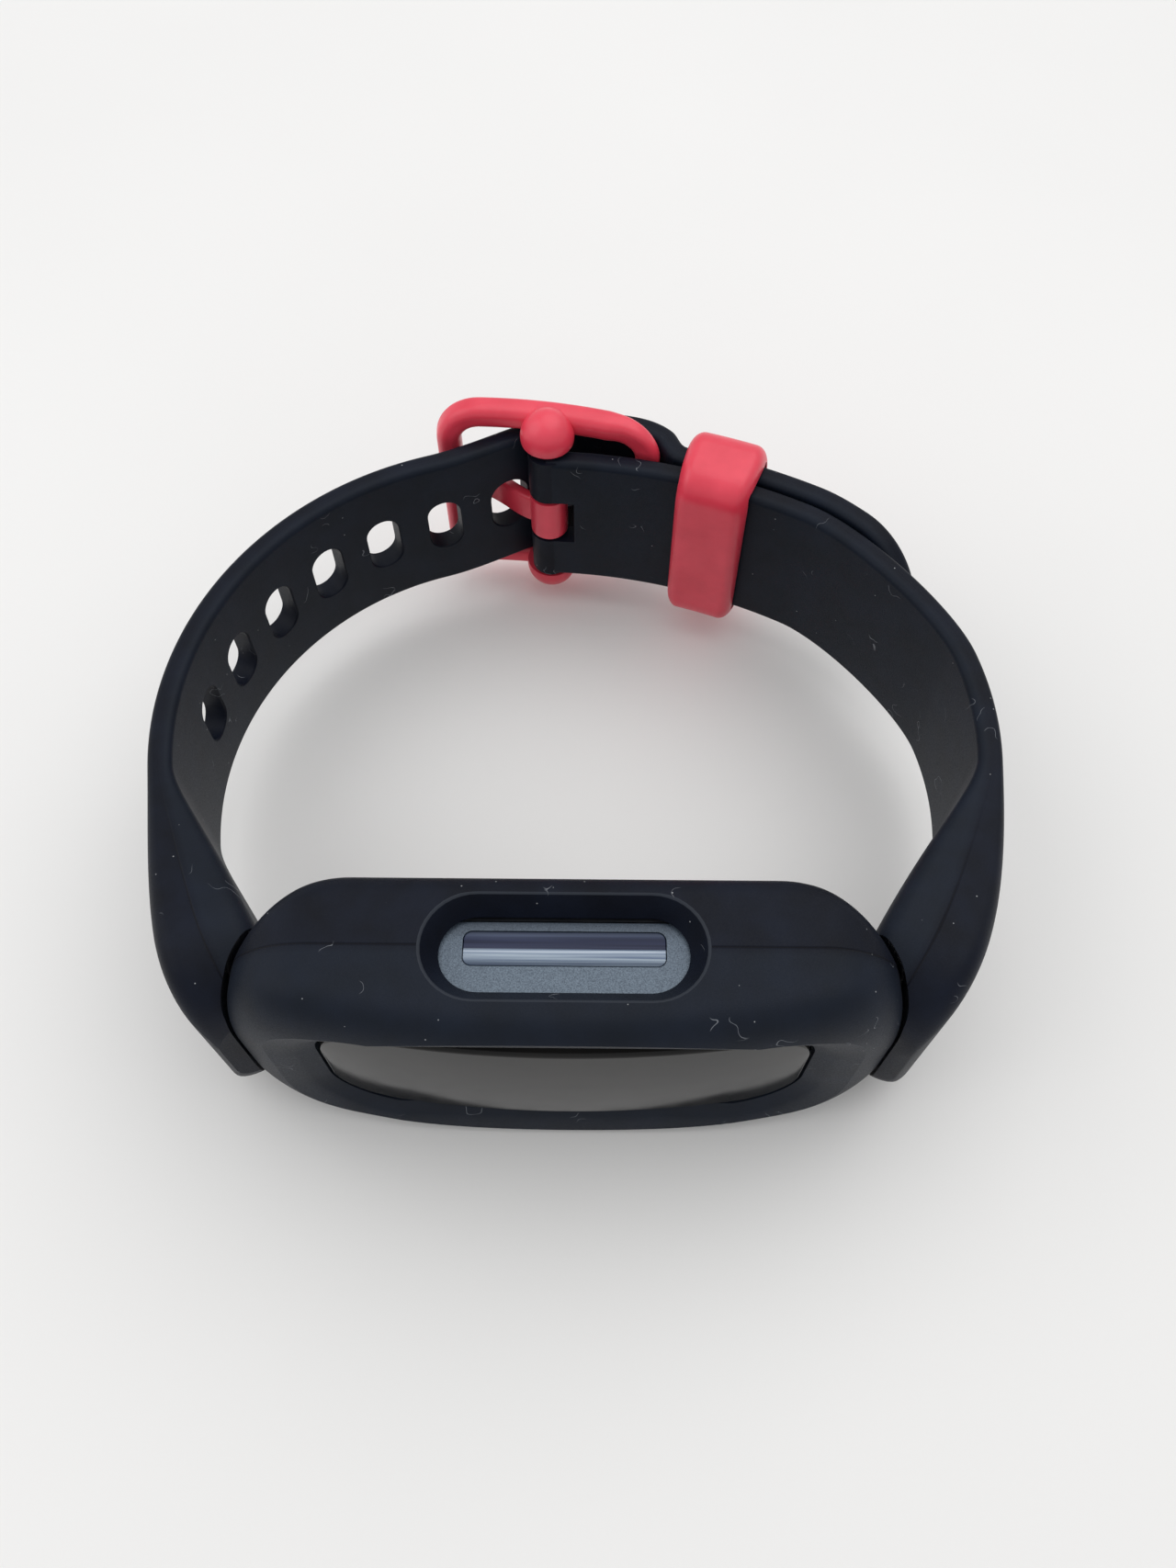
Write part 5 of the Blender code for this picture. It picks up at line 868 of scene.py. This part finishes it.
direction = unitOf(ringLine(share + ringShape["step"]) - ringLine(share - ringShape["step"]))
plan = ringLine(share) + section[..., 1:] * np.stack([-direction[..., 1], direction[..., 0]], -1)
buckleFrame = loftPiece("buckleFrame", raisedRings(plan, flatPlace[..., 1:]), closed=True)


def ballPiece(name, side):
    # a sphere by latitude and longitude, with everything inside the rail's face pressed flat onto it
    ball = bucklePin + ringShape["ballOffset"] * heading(course["pivotAngle"])
    up = np.linspace(-math.pi / 2 + ringShape["poleGap"], math.pi / 2 - ringShape["poleGap"], 48)[:, None]
    turn = np.linspace(0, 2 * math.pi, 72, endpoint=False)[None, :]
    radius = ringShape["ball"]
    x = ball[0] + radius * np.cos(up) * np.cos(turn)
    y = ball[1] + radius * np.cos(up) * np.sin(turn)
    height = np.maximum(opening + ringShape["ballLift"] + radius * np.sin(up), opening)
    return loftPiece(name, np.stack(np.broadcast_arrays(x, y, middleZ + side * height), -1))


shapeWith(buckleFrame, [ballPiece("ballUpper", 1), ballPiece("ballLower", -1)], "UNION")
pinHalf = opening + ringShape["bar"] / 2 + gap
seatLow = ringShape["left"][1] + ringShape["depth"] / 2 - ringShape["seat"]
tongue = {"width": 2.6, "thick": 0.9, "over": 1.2, "rise": (-2.9, 0.0), "reach": 5.2, "round": 0.28,
          "tip": 1.1, "tipShare": 0.97, "tipThick": 1.25, "leastThick": 0.35}
halfSeat = tongue["width"] / 2 + gap
seatLeft, seatRight = (ringShape["left"][0] + side * ringShape["seatReach"] for side in (-1, 1))
shapeWith(buckleFrame, [
    pinBar("pinTool", hinge["pin"] + gap, pinHalf),
    middleBox("seatTool", (seatLeft, seatLow), (seatRight, seatLow + ringShape["seatReach"]), halfSeat)])
dress(buckleFrame, "buckle_ring", "red_plastic", ["buckle_ring"], 50.0)

# tongue: a rounded bar along a Bezier from the pin to its seat, narrowed by a square root at the tip
tip = np.array([ringShape["left"][0] - tongue["over"], seatLow + gap + tongue["thick"] / 2])
pulls = bucklePin + np.array(tongue["rise"]), tip + np.array([tongue["reach"], 0.0])
path = bezierLine(bucklePin, *pulls, tip, 90)
fromTip = alongLine(path)[-1] - alongLine(path)
narrow = np.sqrt(1 - np.clip(1 - fromTip / tongue["tip"], 0, tongue["tipShare"]) ** 2)
square = leftOf(path)
thinned = tongue["thick"] / 2 * np.clip(narrow * tongue["tipThick"], tongue["leastThick"], 1)
section = roundedOutline(thinned, tongue["width"] / 2 * narrow, tongue["round"], 6)
plan = path[:, None, :] + section[..., :1] * square[:, None, :]
buckleTongue = loftPiece("buckleTongue", raisedRings(plan, section[..., 1:]))
shapeWith(buckleTongue, [pinBar("knuckleTool", hinge["knuckle"], hinge["notch"] / 2 - gap)], "UNION")
shapeWith(buckleTongue, [pinBar("boreTool", hinge["pin"] + gap, hinge["tongueBore"])])
dress(buckleTongue, "buckle_tongue", "red_plastic", ["buckle_tongue"], 50.0)

keeper = {"width": 5.6, "wall": 1.2, "angle": 71.2, "edge": 1.0, "corner": 2.3}


def keeperRings(innerRadius, outerRadius, tallHalf, halfWidth, edge, endRound=0.0):
    # a block bent about the back arc's centre, drawn in at both ends by a quarter circle
    bend = np.linspace(0, math.pi / 2, 12)
    ends = halfWidth - endRound * (1 - np.sin(bend)), endRound * (1 - np.cos(bend))
    if endRound == 0.0:
        ends = np.array([halfWidth]), np.array([0.0])
    between = np.linspace(-1, 1, 26)[1:-1] * (halfWidth - endRound)
    along = np.concatenate([-ends[0][::-1], between, ends[0]])
    inset = np.concatenate([ends[1][::-1], np.zeros(len(between)), ends[1]])
    angle = np.radians(keeper["angle"]) + along / course["backRadius"]
    out = np.column_stack([np.cos(angle), np.sin(angle)])
    middle = np.array(course["backCentre"]) + (innerRadius + outerRadius) / 2 * out
    section = roundedOutline((outerRadius - innerRadius) / 2 - inset, tallHalf - inset, edge, 10)
    plan = middle[:, None, :] + section[..., :1] * out[:, None, :]
    return raisedRings(plan, section[..., 1:])


low = course["backRadius"] - strap["thick"] - gap
high = course["backRadius"] + strapLift + gap
tallHalf = strap["width"] / 2 + gap
wall = keeper["wall"]
outerRings = keeperRings(low - wall, high + wall, tallHalf + wall, keeper["width"] / 2, keeper["corner"],
                         keeper["edge"])
openingRings = keeperRings(low, high, tallHalf, keeper["width"] / 2 + wall, strap["edge"])
keeperBand = loftPiece("keeperBand", outerRings)
shapeWith(keeperBand, [loftPiece("keeperTool", openingRings)])
dress(keeperBand, "keeper", "red_plastic", ["keeper_loop"], 50.0)
print("buckle and keeper done")

# the remaining solids keep their shapes and get their finishes
slotOf = {part["node"]: part["material_slot"] for part in frame["record"]["subparts"]}
for nodeName, node in frame["nodes"].items():
    for place in node.material_slots:
        place.material = finishes[slotOf[nodeName]]


stage = {"floorSize": 3.0, "sky": 0.66, "skyColour": (0.985, 0.99, 1.0, 1.0), "target": (0.0, 0.0, 0.01)}
floorColour, floorDrift = (0.845, 0.838, 0.825), (0.985, 1.01)
floorFinish = {"dark": tuple(c * floorDrift[0] for c in floorColour), "patch": 60.0, "grain": 0.4,
               "light": tuple(c * floorDrift[1] for c in floorColour), "bump": 0.004, "rough": (0.5, 0.62)}
lamps = {"keyLamp": {"power": 1.30, "size": 0.7, "place": (0.14, 0.16, 0.50)},
         "fillLamp": {"power": 0.60, "size": 0.5, "place": (-0.38, 0.02, 0.36)}}

# floor: one square of a pale matt surface with a faint drift in tone
half = stage["floorSize"] / 2
floorMesh = bpy.data.meshes.new("floor")
corners = [(-half, -half, 0), (half, -half, 0), (half, half, 0), (-half, half, 0)]
floorMesh.from_pydata(corners, [], [(0, 1, 2, 3)])
floorMesh.materials.append(makeFinish("floor", floorFinish))
floor = bpy.data.objects.new("floor", floorMesh)
bpy.context.scene.collection.objects.link(floor)


def addLamp(name, power, size, place):
    # a disc of light that faces the stage's target
    lamp = bpy.data.objects.new(name, bpy.data.lights.new(name, "AREA"))
    lamp.data.energy, lamp.data.size, lamp.data.shape = power, size, "DISK"
    away = np.array(place) - np.array(stage["target"])
    away = away / np.linalg.norm(away)
    side = np.cross((0.0, 0.0, 1.0), away)
    side = side / np.linalg.norm(side)
    up = np.cross(away, side)
    lamp.matrix_world = Matrix([[side[k], up[k], away[k], place[k]] for k in range(3)] + [[0, 0, 0, 1]])
    bpy.context.scene.collection.objects.link(lamp)


for name, values in lamps.items():
    addLamp(name, values["power"], values["size"], values["place"])

world = bpy.data.worlds.new("studio")
bpy.context.scene.world = world
world.use_nodes = True
sky = world.node_tree.nodes["Background"]
sky.inputs["Color"].default_value = stage["skyColour"]
sky.inputs["Strength"].default_value = stage["sky"]

# camera: its place is counted from the foot of the bumper's middle, and its angles are degrees
view = {"place": (1.526, -19.737, 85.342), "yaw": -0.449, "pitch": 61.077, "roll": 0.072, "lens": 28.766,
        "sensor": 36.0, "near": 0.001}
yaw, pitch, roll = (math.radians(view[key]) for key in ("yaw", "pitch", "roll"))
forward = np.array([math.sin(yaw) * math.cos(pitch), math.cos(yaw) * math.cos(pitch), -math.sin(pitch)])
level = np.array([math.cos(yaw), -math.sin(yaw), 0.0])
upright = np.cross(level, forward)
rightWay = level * math.cos(roll) + upright * math.sin(roll)
upWay = -level * math.sin(roll) + upright * math.cos(roll)
place = bandOrigin + np.array(view["place"]) * millimetre
camera = bpy.data.objects.new("camera", bpy.data.cameras.new("camera"))
camera.data.sensor_fit = "VERTICAL"
camera.data.sensor_height = camera.data.sensor_width = view["sensor"]
camera.data.lens, camera.data.clip_start = view["lens"], view["near"]
turned = [[rightWay[k], upWay[k], -forward[k], place[k]] for k in range(3)]
camera.matrix_world = Matrix(turned + [[0, 0, 0, 1]])
bpy.context.scene.collection.objects.link(camera)
bpy.context.scene.camera = camera
bpy.context.scene.view_settings.view_transform = "Standard"
